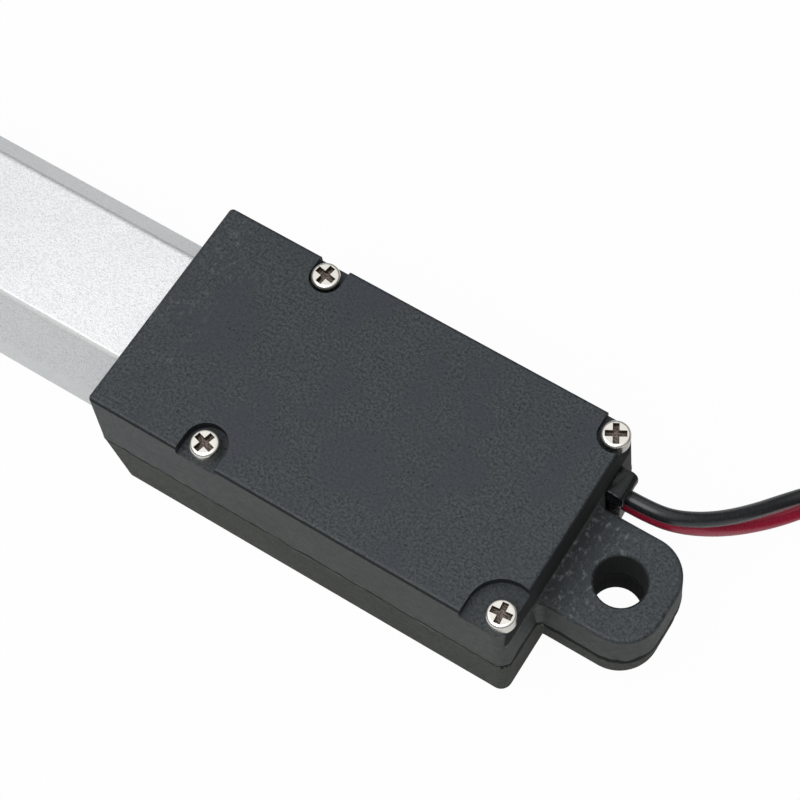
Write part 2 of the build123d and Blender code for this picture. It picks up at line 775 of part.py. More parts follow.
with BuildPart() as bearing_outer_ring:
    with BuildSketch(turning_plane()):
        with Locations((bearing_mid_x, (bearing_outer_shoulder + bearing_radius) / 2)):
            Rectangle(bearing_width, bearing_radius - bearing_outer_shoulder)
        with Locations((bearing_mid_x, ball_pitch_radius)):
            Circle(ball_radius + ball_clearance, mode=Mode.SUBTRACT)
    revolve(axis=drive_axis)
bearing_outer_ring.part.label = "bearing_outer_ring"
export_step(bearing_outer_ring.part, "parts/bearing_outer_ring.step")

with BuildPart(station(bearing_mid_x)) as bearing_balls:
    with PolarLocations(ball_pitch_radius, ball_count):
        Sphere(ball_radius)
bearing_balls.part.label = "bearing_balls"
export_step(bearing_balls.part, "parts/bearing_balls.step")

# Motor can, with a blind bore for the shaft
with BuildPart() as motor_can:
    extrude(motor_outline(motor_rear_x, 0), amount=motor_length)
    fillet(motor_can.faces().sort_by(Axis.X)[0].edges(), motor_edge_radius)
    extrude(
        round_outline(motor_front_x, motor_shaft_radius + shaft_clearance),
        amount=-(motor_shaft_grip + shaft_clearance),
        mode=Mode.SUBTRACT,
    )
motor_can.part.label = "motor_can"
export_step(motor_can.part, "parts/motor_can.step")

with BuildPart() as motor_end_cap:
    extrude(motor_outline(motor_rear_x - end_cap_thickness, end_cap_inset), amount=end_cap_thickness)
    extrude(
        round_outline(motor_rear_x - end_cap_thickness, end_cap_boss_radius), amount=-end_cap_boss_height
    )
motor_end_cap.part.label = "motor_end_cap"
export_step(motor_end_cap.part, "parts/motor_end_cap.step")

# One terminal for each lead, standing off the end cap
with BuildPart() as motor_terminals:
    for side, z in ((-1, black_lead_z), (1, red_lead_z)):
        with Locations((motor_rear_x - end_cap_thickness, drive_y + side * terminal_offset, z)):
            Box(
                terminal_length,
                terminal_thickness,
                terminal_width,
                align=(Align.MAX, Align.CENTER, Align.CENTER),
            )
motor_terminals.part.label = "motor_terminals"
export_step(motor_terminals.part, "parts/motor_terminals.step")

with BuildPart() as motor_shaft:
    extrude(
        round_outline(motor_front_x - motor_shaft_grip, motor_shaft_radius),
        amount=motor_shaft_grip + plate_thickness + first_gear_gap + gear_face,
    )
motor_shaft.part.label = "motor_shaft"
export_step(motor_shaft.part, "parts/motor_shaft.step")

# Gear train
half_pitch_turn = degrees(pi / large_teeth)
gear_bore = gear_pin_radius + gear_bore_clearance
spigot_bore = screw_spigot_radius + gear_bore_clearance

with BuildPart() as motor_pinion:
    extrude(gear_outline(first_gear_x, small_teeth, 0, 0, motor_shaft_radius), amount=gear_face)
motor_pinion.part.label = "motor_pinion"
export_step(motor_pinion.part, "parts/motor_pinion.step")

with BuildPart() as first_gear:
    extrude(
        gear_outline(first_gear_x, large_teeth, half_pitch_turn, gear_offset, gear_bore),
        amount=gear_face,
    )
    extrude(
        gear_outline(first_gear_x + gear_face, small_teeth, 0, gear_offset, gear_bore),
        amount=stage_pitch,
    )
first_gear.part.label = "first_gear"
export_step(first_gear.part, "parts/first_gear.step")

with BuildPart() as second_gear:
    second_gear_x = first_gear_x + stage_pitch
    extrude(gear_outline(second_gear_x, large_teeth, half_pitch_turn, 0, spigot_bore), amount=gear_face)
    extrude(gear_outline(second_gear_x + gear_face, small_teeth, 0, 0, spigot_bore), amount=stage_pitch)
second_gear.part.label = "second_gear"
export_step(second_gear.part, "parts/second_gear.step")

with BuildPart() as third_gear:
    third_gear_x = first_gear_x + 2 * stage_pitch
    extrude(
        gear_outline(third_gear_x, large_teeth, half_pitch_turn, gear_offset, gear_bore),
        amount=gear_face,
    )
    extrude(
        gear_outline(third_gear_x + gear_face, small_teeth, 0, gear_offset, gear_bore),
        amount=stage_pitch,
    )
third_gear.part.label = "third_gear"
export_step(third_gear.part, "parts/third_gear.step")

with BuildPart() as output_gear:
    output_gear_x = first_gear_x + 3 * stage_pitch
    extrude(
        gear_outline(output_gear_x, large_teeth, half_pitch_turn, 0, screw_gear_seat_radius),
        amount=gear_face,
    )
output_gear.part.label = "output_gear"
export_step(output_gear.part, "parts/output_gear.step")

# Gearbox frame: two plates, four pillars and the gear pin
with BuildPart() as gearbox_rear_plate:
    extrude(plate_outline(motor_front_x, plate_window_radius), amount=plate_thickness)
gearbox_rear_plate.part.label = "gearbox_rear_plate"
export_step(gearbox_rear_plate.part, "parts/gearbox_rear_plate.step")

with BuildPart() as gearbox_front_plate:
    extrude(plate_outline(front_plate_x, lead_screw_radius + journal_clearance), amount=plate_thickness)
gearbox_front_plate.part.label = "gearbox_front_plate"
export_step(gearbox_front_plate.part, "parts/gearbox_front_plate.step")

with BuildPart(station(gearbox_rear_x)) as gearbox_pillars:
    with GridLocations(motor_width - 2 * pillar_inset, motor_height - 2 * pillar_inset, 2, 2):
        Cylinder(
            pillar_radius,
            front_plate_x - gearbox_rear_x,
            align=(Align.CENTER, Align.CENTER, Align.MIN),
        )
gearbox_pillars.part.label = "gearbox_pillars"
export_step(gearbox_pillars.part, "parts/gearbox_pillars.step")

with BuildPart() as gear_pin:
    extrude(
        round_outline(motor_front_x, gear_pin_radius, gear_offset),
        amount=front_plate_x + plate_thickness - motor_front_x,
    )
gear_pin.part.label = "gear_pin"
export_step(gear_pin.part, "parts/gear_pin.step")

# Limit switch board with its two switches and their plungers
with BuildPart() as limit_switch_board:
    with Locations((tube_rear_x, drive_y + board_y, 0)):
        Box(
            board_front_x - tube_rear_x,
            board_thickness,
            board_height,
            align=(Align.MIN, Align.CENTER, Align.CENTER),
        )
limit_switch_board.part.label = "limit_switch_board"
export_step(limit_switch_board.part, "parts/limit_switch_board.step")

with BuildPart() as retract_switch:
    add(limit_switch(retract_face_x, 1))
retract_switch.part.label = "retract_switch"
export_step(retract_switch.part, "parts/retract_switch.step")

with BuildPart() as extend_switch:
    add(limit_switch(extend_face_x, -1))
extend_switch.part.label = "extend_switch"
export_step(extend_switch.part, "parts/extend_switch.step")

with BuildPart() as retract_plunger:
    extrude(
        round_outline(retract_face_x + plunger_reach, plunger_radius, switch_y), amount=-plunger_length
    )
retract_plunger.part.label = "retract_plunger"
export_step(retract_plunger.part, "parts/retract_plunger.step")

with BuildPart() as extend_plunger:
    extrude(round_outline(extend_face_x - plunger_reach, plunger_radius, switch_y), amount=plunger_length)
extend_plunger.part.label = "extend_plunger"
export_step(extend_plunger.part, "parts/extend_plunger.step")

# Grommet: a rounded block outside the rear wall and a neck through it, with both leads' holes
with BuildPart() as lead_grommet:
    with Locations((rear_face_x, lead_y, (grommet_top + grommet_bottom) / 2)):
        Box(
            rear_face_x - grommet_face_x,
            2 * grommet_half_width,
            grommet_top - grommet_bottom,
            align=(Align.MAX, Align.CENTER, Align.CENTER),
        )
    fillet(lead_grommet.faces().sort_by(Axis.X)[0].edges(), grommet_edge_radius)
    with Locations((rear_face_x, lead_y, grommet_neck_top / 2)):
        Box(
            rear_wall,
            2 * grommet_neck_half_width,
            grommet_neck_top,
            align=(Align.MIN, Align.CENTER, Align.CENTER),
        )
    with BuildSketch(Plane.YZ.offset(grommet_face_x)):
        with Locations((lead_y, black_lead_z), (lead_y, red_lead_z)):
            Circle(lead_radius + lead_clearance)
    extrude(amount=bay_rear_x - grommet_face_x, mode=Mode.SUBTRACT)
lead_grommet.part.label = "lead_grommet"
export_step(lead_grommet.part, "parts/lead_grommet.step")


# A lead inside the housing, from the grommet's face to its terminal
def inner_lead(z, end_y):
    with BuildPart() as lead:
        with BuildLine():
            FilletPolyline(
                (grommet_face_x, lead_y, z), (inner_lead_x, lead_y, z), (inner_lead_x, end_y, z),
                radius=inner_lead_bend,
            )
        with BuildSketch(Plane.YZ.offset(grommet_face_x)):
            with Locations((lead_y, z)):
                Circle(lead_radius)
        sweep()
    return lead.part


with BuildPart() as black_inner_lead:
    add(inner_lead(black_lead_z, drive_y - terminal_offset - terminal_thickness / 2))
black_inner_lead.part.label = "black_inner_lead"
export_step(black_inner_lead.part, "parts/black_inner_lead.step")

with BuildPart() as red_inner_lead:
    add(inner_lead(red_lead_z, drive_y + terminal_offset - terminal_thickness / 2))
red_inner_lead.part.label = "red_inner_lead"
export_step(red_inner_lead.part, "parts/red_inner_lead.step")


# The bend radii of a free lead: each arc as large as its two runs allow
def bend_radii(route):
    points = [Vector(*point) for point in route]
    radii = []
    for before, corner, after in zip(points, points[1:], points[2:]):
        turn = (corner - before).get_angle(after - corner)
        shorter = min((corner - before).length, (after - corner).length)
        radii.append(0.45 * shorter / tan(radians(turn) / 2))
    return radii


# A free lead: straight runs joined by arcs
def free_lead(route):
    radii = bend_radii(route)
    with BuildPart() as lead:
        with BuildLine() as path:
            FilletPolyline(*route, radius=radii)
        with BuildSketch(Plane(origin=path.wires()[0] @ 0, z_dir=path.wires()[0] % 0)):
            Circle(lead_radius)
        sweep()
    length = path.wires()[0].length
    ratio = lead.part.volume / (pi * lead_radius**2 * length)
    print("lead", round(length, 1), "volume ratio", round(ratio, 4))
    print("radii", [round(radius, 1) for radius in radii])
    return lead.part


with BuildPart() as black_lead:
    add(free_lead(black_route))
black_lead.part.label = "black_lead"
export_step(black_lead.part, "parts/black_lead.step")

with BuildPart() as red_lead:
    add(free_lead(red_route))
red_lead.part.label = "red_lead"
export_step(red_lead.part, "parts/red_lead.step")


# The outer shape of one lead's coil, a flat ring one lead thick
def coil_ring(bottom_z):
    with BuildPart() as ring:
        with BuildSketch(Plane.XY.offset(bottom_z)):
            with Locations((coil_center_x, coil_center_y)):
                Circle(coil_outer_radius)
                Circle(coil_inner_radius, mode=Mode.SUBTRACT)
        extrude(amount=coil_height)
    return ring.part


with BuildPart() as red_lead_coil:
    add(coil_ring(floor_z))
red_lead_coil.part.label = "red_lead_coil"
export_step(red_lead_coil.part, "parts/red_lead_coil.step")

with BuildPart() as black_lead_coil:
    add(coil_ring(floor_z + coil_height))
black_lead_coil.part.label = "black_lead_coil"
export_step(black_lead_coil.part, "parts/black_lead_coil.step")


# The tinned tip of one lead, inside its coil
def lead_tip(offset_y):
    with BuildPart() as tip:
        with Locations((coil_center_x, coil_center_y + offset_y, floor_z + lead_radius)):
            Cylinder(tip_radius, tip_length, rotation=(0, 90, 0))
    return tip.part


with BuildPart() as black_lead_tip:
    add(lead_tip(tip_offset))
black_lead_tip.part.label = "black_lead_tip"
export_step(black_lead_tip.part, "parts/black_lead_tip.step")

with BuildPart() as red_lead_tip:
    add(lead_tip(-tip_offset))
red_lead_tip.part.label = "red_lead_tip"
export_step(red_lead_tip.part, "parts/red_lead_tip.step")
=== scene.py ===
"""The dressed micro linear actuator: finishes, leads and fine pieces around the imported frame."""

from __future__ import annotations

import contextlib
import functools
import logging
import math
from collections.abc import Callable, Iterator, Sequence
from dataclasses import dataclass
from enum import Enum
from typing import NamedTuple

import bmesh
import bpy
from mathutils import Matrix, Vector

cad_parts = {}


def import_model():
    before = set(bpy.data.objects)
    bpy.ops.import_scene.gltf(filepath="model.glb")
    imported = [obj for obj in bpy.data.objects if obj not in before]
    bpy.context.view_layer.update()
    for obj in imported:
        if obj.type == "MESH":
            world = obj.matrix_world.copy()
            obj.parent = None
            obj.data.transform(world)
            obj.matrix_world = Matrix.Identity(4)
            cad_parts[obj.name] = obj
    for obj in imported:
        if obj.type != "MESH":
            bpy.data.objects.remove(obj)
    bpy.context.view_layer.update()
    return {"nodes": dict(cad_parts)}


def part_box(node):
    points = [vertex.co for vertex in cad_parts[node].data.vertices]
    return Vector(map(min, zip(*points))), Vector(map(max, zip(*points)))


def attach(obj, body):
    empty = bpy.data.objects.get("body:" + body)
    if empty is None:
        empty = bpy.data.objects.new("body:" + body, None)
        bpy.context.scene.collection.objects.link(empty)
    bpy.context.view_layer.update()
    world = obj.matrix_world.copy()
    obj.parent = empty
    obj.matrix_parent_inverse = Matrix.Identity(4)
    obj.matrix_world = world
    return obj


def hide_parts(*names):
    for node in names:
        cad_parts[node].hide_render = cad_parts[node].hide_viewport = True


MM = 0.001
NEAR = 0.1
MIDDLE_Y = -0.5
GROMMET_BLOCK = ((3.1, -8.4, -1.6), (4.9, -5.8, 4.3))
Pair = tuple[float, float]
Triple = tuple[float, float, float]
Colour = Triple
log = logging.getLogger("actuator")


class Socket:
    """A shader output on which Python's own arithmetic adds Math nodes."""

    def __init__(self, graph: Graph, output: bpy.types.NodeSocket) -> None:
        """Wraps one output of a node in a graph."""
        self.graph = graph
        self.output = output

    def _math(self, operation: str, *values: Value) -> Socket:
        """Adds one Math node and returns its output."""
        return self.graph.node("ShaderNodeMath", {"operation": operation}, dict(enumerate(values)))

    def __add__(self, other: Value) -> Socket:
        """self + other."""
        return self._math("ADD", self, other)

    def __radd__(self, other: Value) -> Socket:
        """other + self."""
        return self._math("ADD", other, self)

    def __sub__(self, other: Value) -> Socket:
        """self - other."""
        return self._math("SUBTRACT", self, other)

    def __rsub__(self, other: Value) -> Socket:
        """other - self."""
        return self._math("SUBTRACT", other, self)

    def __mul__(self, other: Value) -> Socket:
        """self * other."""
        return self._math("MULTIPLY", self, other)

    def __rmul__(self, other: Value) -> Socket:
        """other * self."""
        return self._math("MULTIPLY", other, self)

    def __abs__(self) -> Socket:
        """The absolute value."""
        return self._math("ABSOLUTE", self)

    def at_least(self, other: Value) -> Socket:
        """The larger of the two."""
        return self._math("MAXIMUM", self, other)

    def at_most(self, other: Value) -> Socket:
        """The smaller of the two."""
        return self._math("MINIMUM", self, other)

    def length_with(self, other: Socket) -> Socket:
        """The distance from zero in the plane of the two values."""
        squares = self * self + other * other
        return self._math("SQRT", squares)

    def smooth(self, low: float, high: float) -> Socket:
        """0 at low and 1 at high, with a soft step between.

        Args:
            low: the value that gives 0.
            high: the value that gives 1.

        Returns:
            The stepped value.
        """
        return self.graph.node(
            "ShaderNodeMapRange",
            {"interpolation_type": "SMOOTHSTEP"},
            {0: self, 1: low, 2: high, 3: 0.0, 4: 1.0},
        )

    def band(self, low: float, high: float, soft: float) -> Socket:
        """1 between low and high, with soft edges.

        Args:
            low: where the band starts.
            high: where the band ends.
            soft: the width of each edge.

        Returns:
            The band's mask.
        """
        return self.smooth(low - soft, low) * (1 - self.smooth(high, high + soft))


Value = Socket | float


class Graph:
    """A material's or the world's nodes, built from values and expressions."""

    def __init__(self, tree: bpy.types.NodeTree) -> None:
        """Empties the tree.

        Args:
            tree: the node tree to build in.
        """
        self.tree = tree
        tree.nodes.clear()

    def node(
        self,
        kind: str,
        settings: dict[str, object] | None = None,
        inputs: dict[str | int, object] | None = None,
        output: str | int = 0,
    ) -> Socket:
        """Adds one node.

        Args:
            kind: the node's type.
            settings: properties to set first, such as a Math node's operation.
            inputs: a value or a Socket for each named or numbered input.
            output: the output to return.

        Returns:
            The chosen output, or None for a node that has none.
        """
        made = self.tree.nodes.new(kind)
        for name, value in (settings or {}).items():
            setattr(made, name, value)
        for name, value in (inputs or {}).items():
            if isinstance(value, Socket):
                self.tree.links.new(value.output, made.inputs[name])
            else:
                made.inputs[name].default_value = value
        return Socket(self, made.outputs[output]) if made.outputs else None

    @functools.cached_property
    def place(self) -> Socket:
        """The surface point in the part's own frame, in metres."""
        return self.node("ShaderNodeTexCoord", output="Object")

    @functools.cached_property
    def place_in_sky(self) -> Socket:
        """The direction in which the world is seen."""
        return self.node("ShaderNodeTexCoord", output="Generated")

    @functools.cached_property
    def xyz(self) -> tuple[Socket, Socket, Socket]:
        """The surface point's X, Y and Z in millimetres.

        Returns:
            A Socket for each axis.
        """
        scaled = self.node(
            "ShaderNodeVectorMath", {"operation": "SCALE"}, {0: self.place, "Scale": 1 / MM}
        )
        split = self.node("ShaderNodeSeparateXYZ", inputs={0: scaled}).output.node
        return tuple(Socket(self, output) for output in split.outputs)

    def noise(
        self,
        size: float,
        detail: float = 2.0,
        roughness: float = 0.5,
        stretch: Sequence[float] = (1, 1, 1),
    ) -> Socket:
        """Soft noise around 0.5.

        Args:
            size: the blotches' size in millimetres.
            detail: how many finer layers it holds.
            roughness: how strong the finer layers are.
            stretch: how much longer the blotches are along X, Y and Z.

        Returns:
            The noise's value.
        """
        scale = [1 / (size * MM * factor) for factor in stretch]
        spread = self.node(
            "ShaderNodeVectorMath", {"operation": "MULTIPLY"}, {0: self.place, 1: scale}
        )
        return self.node(
            "ShaderNodeTexNoise",
            inputs={"Vector": spread, "Scale": 1.0, "Detail": detail, "Roughness": roughness},
        )

    def cells(self, size: float) -> Socket:
        """The distance to the nearest of many scattered points.

        Args:
            size: the cells' size in millimetres.

        Returns:
            The distance, in cells.
        """
        inputs = {"Vector": self.place, "Scale": 1 / (size * MM)}
        return self.node("ShaderNodeTexVoronoi", inputs=inputs)

    def blend(self, factor: Value, first: Paint, second: Paint) -> Socket:
        """A colour between two.

        Args:
            factor: 0 for the first colour, 1 for the second.
            first: a colour or a colour's Socket.
            second: a colour or a colour's Socket.

        Returns:
            The mixed colour.
        """
        colours = [c if isinstance(c, Socket) else (*c, 1.0) for c in (first, second)]
        return self.node(
            "ShaderNodeMix",
            {"data_type": "RGBA"},
            {0: factor, 6: colours[0], 7: colours[1]},
            output=2,
        )

    def bump(self, height: Value, depth: float) -> Socket:
        """A normal that follows a height.

        Args:
            height: the height, about 0 to 1.
            depth: the depth in millimetres of a height of 1.

        Returns:
            The bent normal.
        """
        return self.node(
            "ShaderNodeBump", inputs={"Strength": 1.0, "Distance": depth * MM, "Height": height}
        )

    def surface(self, **inputs: object) -> None:
        """Ends the graph in a Principled shader.

        Args:
            **inputs: its sockets by name, with _ for a space.
        """
        values = {name.replace("_", " "): value for name, value in inputs.items()}
        shader = self.node("ShaderNodeBsdfPrincipled", inputs=values)
        self.node("ShaderNodeOutputMaterial", inputs={"Surface": shader})


Paint = Socket | Colour


@dataclass(frozen=True)
class Finish:
    """A named surface finish."""

    name: str

    def paint(self, graph: Graph) -> None:
        """Builds the finish's nodes.

        Args:
            graph: the material's empty graph.
        """
        raise NotImplementedError


@functools.cache
def material(finish: Finish) -> bpy.types.Material:
    """The Blender material of a finish, made once.

    Args:
        finish: the finish to paint.

    Returns:
        Its material.
    """
    made = bpy.data.materials.new(finish.name)
    made.use_nodes = True
    finish.paint(Graph(made.node_tree))
    return made


@dataclass(frozen=True)
class MouldedPlastic(Finish):
    """Dark moulded plastic with a pitted grain, faint blotches and, on the housing, scuffs and
    painted shade.
    """

    tone: Colour = (0.005, 0.009, 0.011)
    pale: Colour = (0.064, 0.074, 0.080)
    blotch: Colour = (0.030, 0.034, 0.046)
    roughness: float = 0.46
    grain: float = 0.23
    grain_step: Pair = (0.36, 0.64)
    grain_depth: float = 0.035
    blotch_size: float = 4.5
    blotch_step: Pair = (0.42, 0.62)
    blotch_share: float = 0.55
    pit_size: float = 0.42
    pit_edge: Pair = (0.10, 0.24)
    pitted_size: float = 2.6
    pitted_step: Pair = (0.47, 0.6)
    pit_share: float = 0.7
    pit_depth: float = 0.8
    shine: float = 0.40
    wear_and_shade: HousingWearAndShade | None = None

    def paint(self, graph: Graph) -> None:
        """Builds the finish's nodes.

        Args:
            graph: the material's empty graph.
        """
        fine = graph.noise(self.grain, detail=5, roughness=0.75)
        broad = graph.noise(self.blotch_size, detail=3, roughness=0.6)
        pits = 1 - graph.cells(self.pit_size).smooth(*self.pit_edge)
        pitted = graph.noise(self.pitted_size, detail=2).smooth(*self.pitted_step) * pits
        colour = graph.blend(fine.smooth(*self.grain_step), self.tone, self.pale)
        blotches = broad.smooth(*self.blotch_step) * self.blotch_share
        colour = graph.blend(blotches, colour, self.blotch)
        deepest = tuple(0.3 * part for part in self.tone)
        colour = graph.blend(pitted * self.pit_share, colour, deepest)
        rough = self.roughness + 0.25 * (fine - 0.5) + 0.1 * (broad - 0.5)
        height = fine - self.pit_depth * pitted
        # the housing's wear and its painted shade
        if self.wear_and_shade:
            colour, rough, height = self.wear_and_shade.mark(graph, Surface(colour, rough, height))
        graph.surface(
            Base_Color=colour,
            Roughness=rough,
            Normal=graph.bump(height, self.grain_depth),
            Specular_IOR_Level=self.shine,
        )


class Surface(NamedTuple):
    """What a finish varies over a surface."""

    colour: Socket
    rough: Socket
    height: Socket


@dataclass(frozen=True)
class HousingWearAndShade:
    """The housing's painted shade in its corners, bore and rear face, with darker speckled flanks,
    scuffs and parting streaks.

    A pair is where a soft step starts and ends, and a triple is a band's start, its end
    and its softness. Places are in millimetres.
    """

    lug_end: Pair = (4.4, 4.7)
    lug_face: Triple = (3.9, 4.3, 0.1)
    above_lug: Pair = (3.9, 4.05)
    below_top: Pair = (6.4, 6.6)
    flank_across: Pair = (9.86, 9.95)
    flank_dark: Colour = (0.006, 0.0068, 0.0042)
    flank_share: float = 0.42
    flank_fade: float = 0.4
    flank_fade_along: Pair = (18, 40)
    speckle_size: float = 0.5
    speckle_step: Pair = (0.36, 0.64)
    speckle_tones: tuple[Colour, Colour] = ((0.014, 0.016, 0.011), (0.070, 0.079, 0.060))
    speckle_share: float = 0.38
    rim_height: Pair = (7.3, 7.4)
    rim_across: Pair = (9.82, 9.88)
    pocket_wall: Triple = (6.78, 7.52, 0.04)
    pocket_floor: Triple = (6.6, 6.74, 0.04)
    pocket_floor_share: float = 0.3
    pocket_across: Pair = (9.7, 9.8)
    pocket_along: Pair = (41, 42)
    root_along: Pair = (0.4, 4.4)
    # painted shade laid on the top's rim, the pocket walls and floors and the lug's root
    corner_shade: Colour = (0.003, 0.004, 0.005)
    corner_shade_share: float = 0.85
    streak_size: float = 0.45
    streak_stretch: Triple = (5, 5, 1)
    streak_step: Pair = (0.53, 0.64)
    streak_patch: Triple = (6.0, 0.42, 0.52)
    streak_along: Pair = (34, 39)
    streak_height: Triple = (-0.6, 0.3, 0.5)
    streak_tone: Colour = (0.16, 0.165, 0.15)
    streak_share: float = 0.6
    scuff_size: float = 0.42
    scuff_stretch: Triple = (1, 1.5, 1)
    scuff_step: Pair = (0.5, 0.66)
    scuffed_root: Triple = (1.2, 4.9, 2.2)
    scuffed_tip: Pair = (-4.6, -2.4)
    tip_patch: Triple = (2.4, 0.5, 0.62)
    scuffed_front: Pair = (34, 43)
    top_face: Pair = (7.3, 7.5)
    front_patch: Triple = (3.0, 0.48, 0.6)
    front_share: float = 0.8
    scuff_tone: Colour = (0.17, 0.185, 0.185)
    scuff_share: float = 0.7
    bore_reach: Pair = (2.05, 2.3)
    rear_along: Triple = (2.5, 4.86, 0.1)
    rear_height: Pair = (4.1, 4.4)
    rear_slope: float = 0.02
    # painted shade laid in the pivot bore and on the rear face above the lug
    shade: Colour = (0.002, 0.0025, 0.003)
    shade_share: float = 0.9
    scuff_rise: float = 0.9
    streak_rise: float = 0.5

    def mark(self, graph: Graph, bare: Surface) -> Surface:
        """Marks a bare surface with wear, streaks and painted shade.

        Args:
            graph: the material's graph.
            bare: the surface so far.

        Returns:
            The marked surface, painted shade included.
        """
        streaks = self.streaks(graph)
        flank = self.flank(graph)
        corner_shade = self.corner_shade_mask(graph, flank)
        scuffs = self.scuffs(graph)
        shaded = self.shaded(graph)
        fade = self.flank_fade * graph.xyz[0].smooth(*self.flank_fade_along)
        speckles = graph.noise(self.speckle_size, detail=5, roughness=0.75)
        dust = graph.blend(speckles.smooth(*self.speckle_step), *self.speckle_tones)
        colour = graph.blend(flank * (self.flank_share - fade), bare.colour, self.flank_dark)
        colour = graph.blend(flank * self.speckle_share, colour, dust)
        # painted shade on the top's rim, in the pockets and at the lug's root
        colour = graph.blend(corner_shade, colour, self.corner_shade)
        colour = graph.blend(streaks * self.streak_share, colour, self.streak_tone)
        colour = graph.blend(scuffs * self.scuff_share, colour, self.scuff_tone)
        # painted shade in the pivot bore and on the rear face above the lug
        colour = graph.blend(shaded * self.shade_share, colour, self.shade)
        rough = bare.rough + 0.1 * scuffs + 0.35 * shaded + 0.12 * flank + 0.3 * corner_shade
        height = bare.height + self.scuff_rise * scuffs + self.streak_rise * streaks
        return Surface(colour, rough, height)

    def across(self, graph: Graph) -> Socket:
        """The distance from the housing's middle plane."""
        return abs(graph.xyz[1] - MIDDLE_Y)

    def flank(self, graph: Graph) -> Socket:
        """The mask of the upright sides.

        Args:
            graph: the material's graph.

        Returns:
            The mask.
        """
        x, _, z = graph.xyz
        outermost = self.across(graph).smooth(*self.flank_across)
        side = (1 - z.smooth(*self.below_top)).at_least(outermost)
        return side * (1 - z.smooth(*self.above_lug) * (1 - x.smooth(*self.lug_end)))

    def corner_shade_mask(self, graph: Graph, flank: Socket) -> Socket:
        """The mask of the painted shade on the top's rim, in the pockets and at the lug's root.

        Args:
            graph: the material's graph.
            flank: the mask of the upright sides.

        Returns:
            The mask, already at its full strength.
        """
        x, _, z = graph.xyz
        across = self.across(graph)
        # painted dark reflection along the top's outer rim
        rim = z.smooth(*self.rim_height) * across.smooth(*self.rim_across)
        inside = (1 - across.smooth(*self.pocket_across)) * (1 - x.smooth(*self.pocket_along))
        # painted shade on the pocket walls, weaker on their floors, and at the lug's root
        walls = z.band(*self.pocket_wall) * inside
        floors = z.band(*self.pocket_floor) * self.pocket_floor_share * (1 - flank)
        over_lug = z.band(*self.lug_face) * (1 - x.smooth(*self.lug_end))
        root = x.smooth(*self.root_along) * over_lug
        corners = rim.at_least(walls.at_least(floors)).at_least(self.corner_shade_share * root)
        return corners * self.corner_shade_share

    def streaks(self, graph: Graph) -> Socket:
        """The mask of the pale streaks along the parting line.

        Args:
            graph: the material's graph.

        Returns:
            The mask.
        """
        x, _, z = graph.xyz
        lines = graph.noise(self.streak_size, detail=5, roughness=0.7, stretch=self.streak_stretch)
        patchy = self.patch(graph, self.streak_patch).at_least(x.smooth(*self.streak_along))
        return lines.smooth(*self.streak_step) * z.band(*self.streak_height) * patchy

    def scuffs(self, graph: Graph) -> Socket:
        """The mask of the pale scuffs on the lug and near the top's front.

        Args:
            graph: the material's graph.

        Returns:
            The mask.
        """
        x, _, z = graph.xyz
        mottle = graph.noise(self.scuff_size, detail=4, roughness=0.75, stretch=self.scuff_stretch)
        root = x.band(*self.scuffed_root) * z.band(*self.lug_face)
        tip = (1 - x.smooth(*self.scuffed_tip)) * self.patch(graph, self.tip_patch)
        top = z.smooth(*self.top_face) * self.patch(graph, self.front_patch)
        front = self.front_share * x.smooth(*self.scuffed_front) * top
        return (root + tip + front).at_most(1.0) * mottle.smooth(*self.scuff_step)

    def shaded(self, graph: Graph) -> Socket:
        """The mask of the painted shade in the pivot bore and on the rear face above the lug.

        Args:
            graph: the material's graph.

        Returns:
            The mask.
        """
        x, y, z = graph.xyz
        bore = 1 - x.length_with(y).smooth(*self.bore_reach)
        rear = x.band(*self.rear_along) * (z - self.rear_slope * x).smooth(*self.rear_height)
        return bore.at_least(rear)

    @staticmethod
    def patch(graph: Graph, spread: Triple) -> Socket:
        """Scattered patches.

        Args:
            graph: the material's graph.
            spread: the patches' size, and where the soft step starts and ends.

        Returns:
            Their mask.
        """
        size, low, high = spread
        return graph.noise(size, detail=2).smooth(low, high)


@dataclass(frozen=True)
class SeamShadow(Finish):
    """The dark gap between the shells, which closes up in places."""

    gap: Colour = (0.003, 0.003, 0.003)
    closed: Colour = (0.030, 0.031, 0.028)

    def paint(self, graph: Graph) -> None:
        """Builds the finish's nodes.

        Args:
            graph: the material's empty graph.
        """
        x, _, _ = graph.xyz
        along = graph.noise(2.2, detail=4, roughness=0.7)
        shut = along.smooth(0.42, 0.56) * x.smooth(4.0, 7.5)
        graph.surface(
            Base_Color=graph.blend(shut, self.gap, self.closed),
            Roughness=0.75 + 0.1 * (along - 0.5),
            Specular_IOR_Level=0.15,
        )


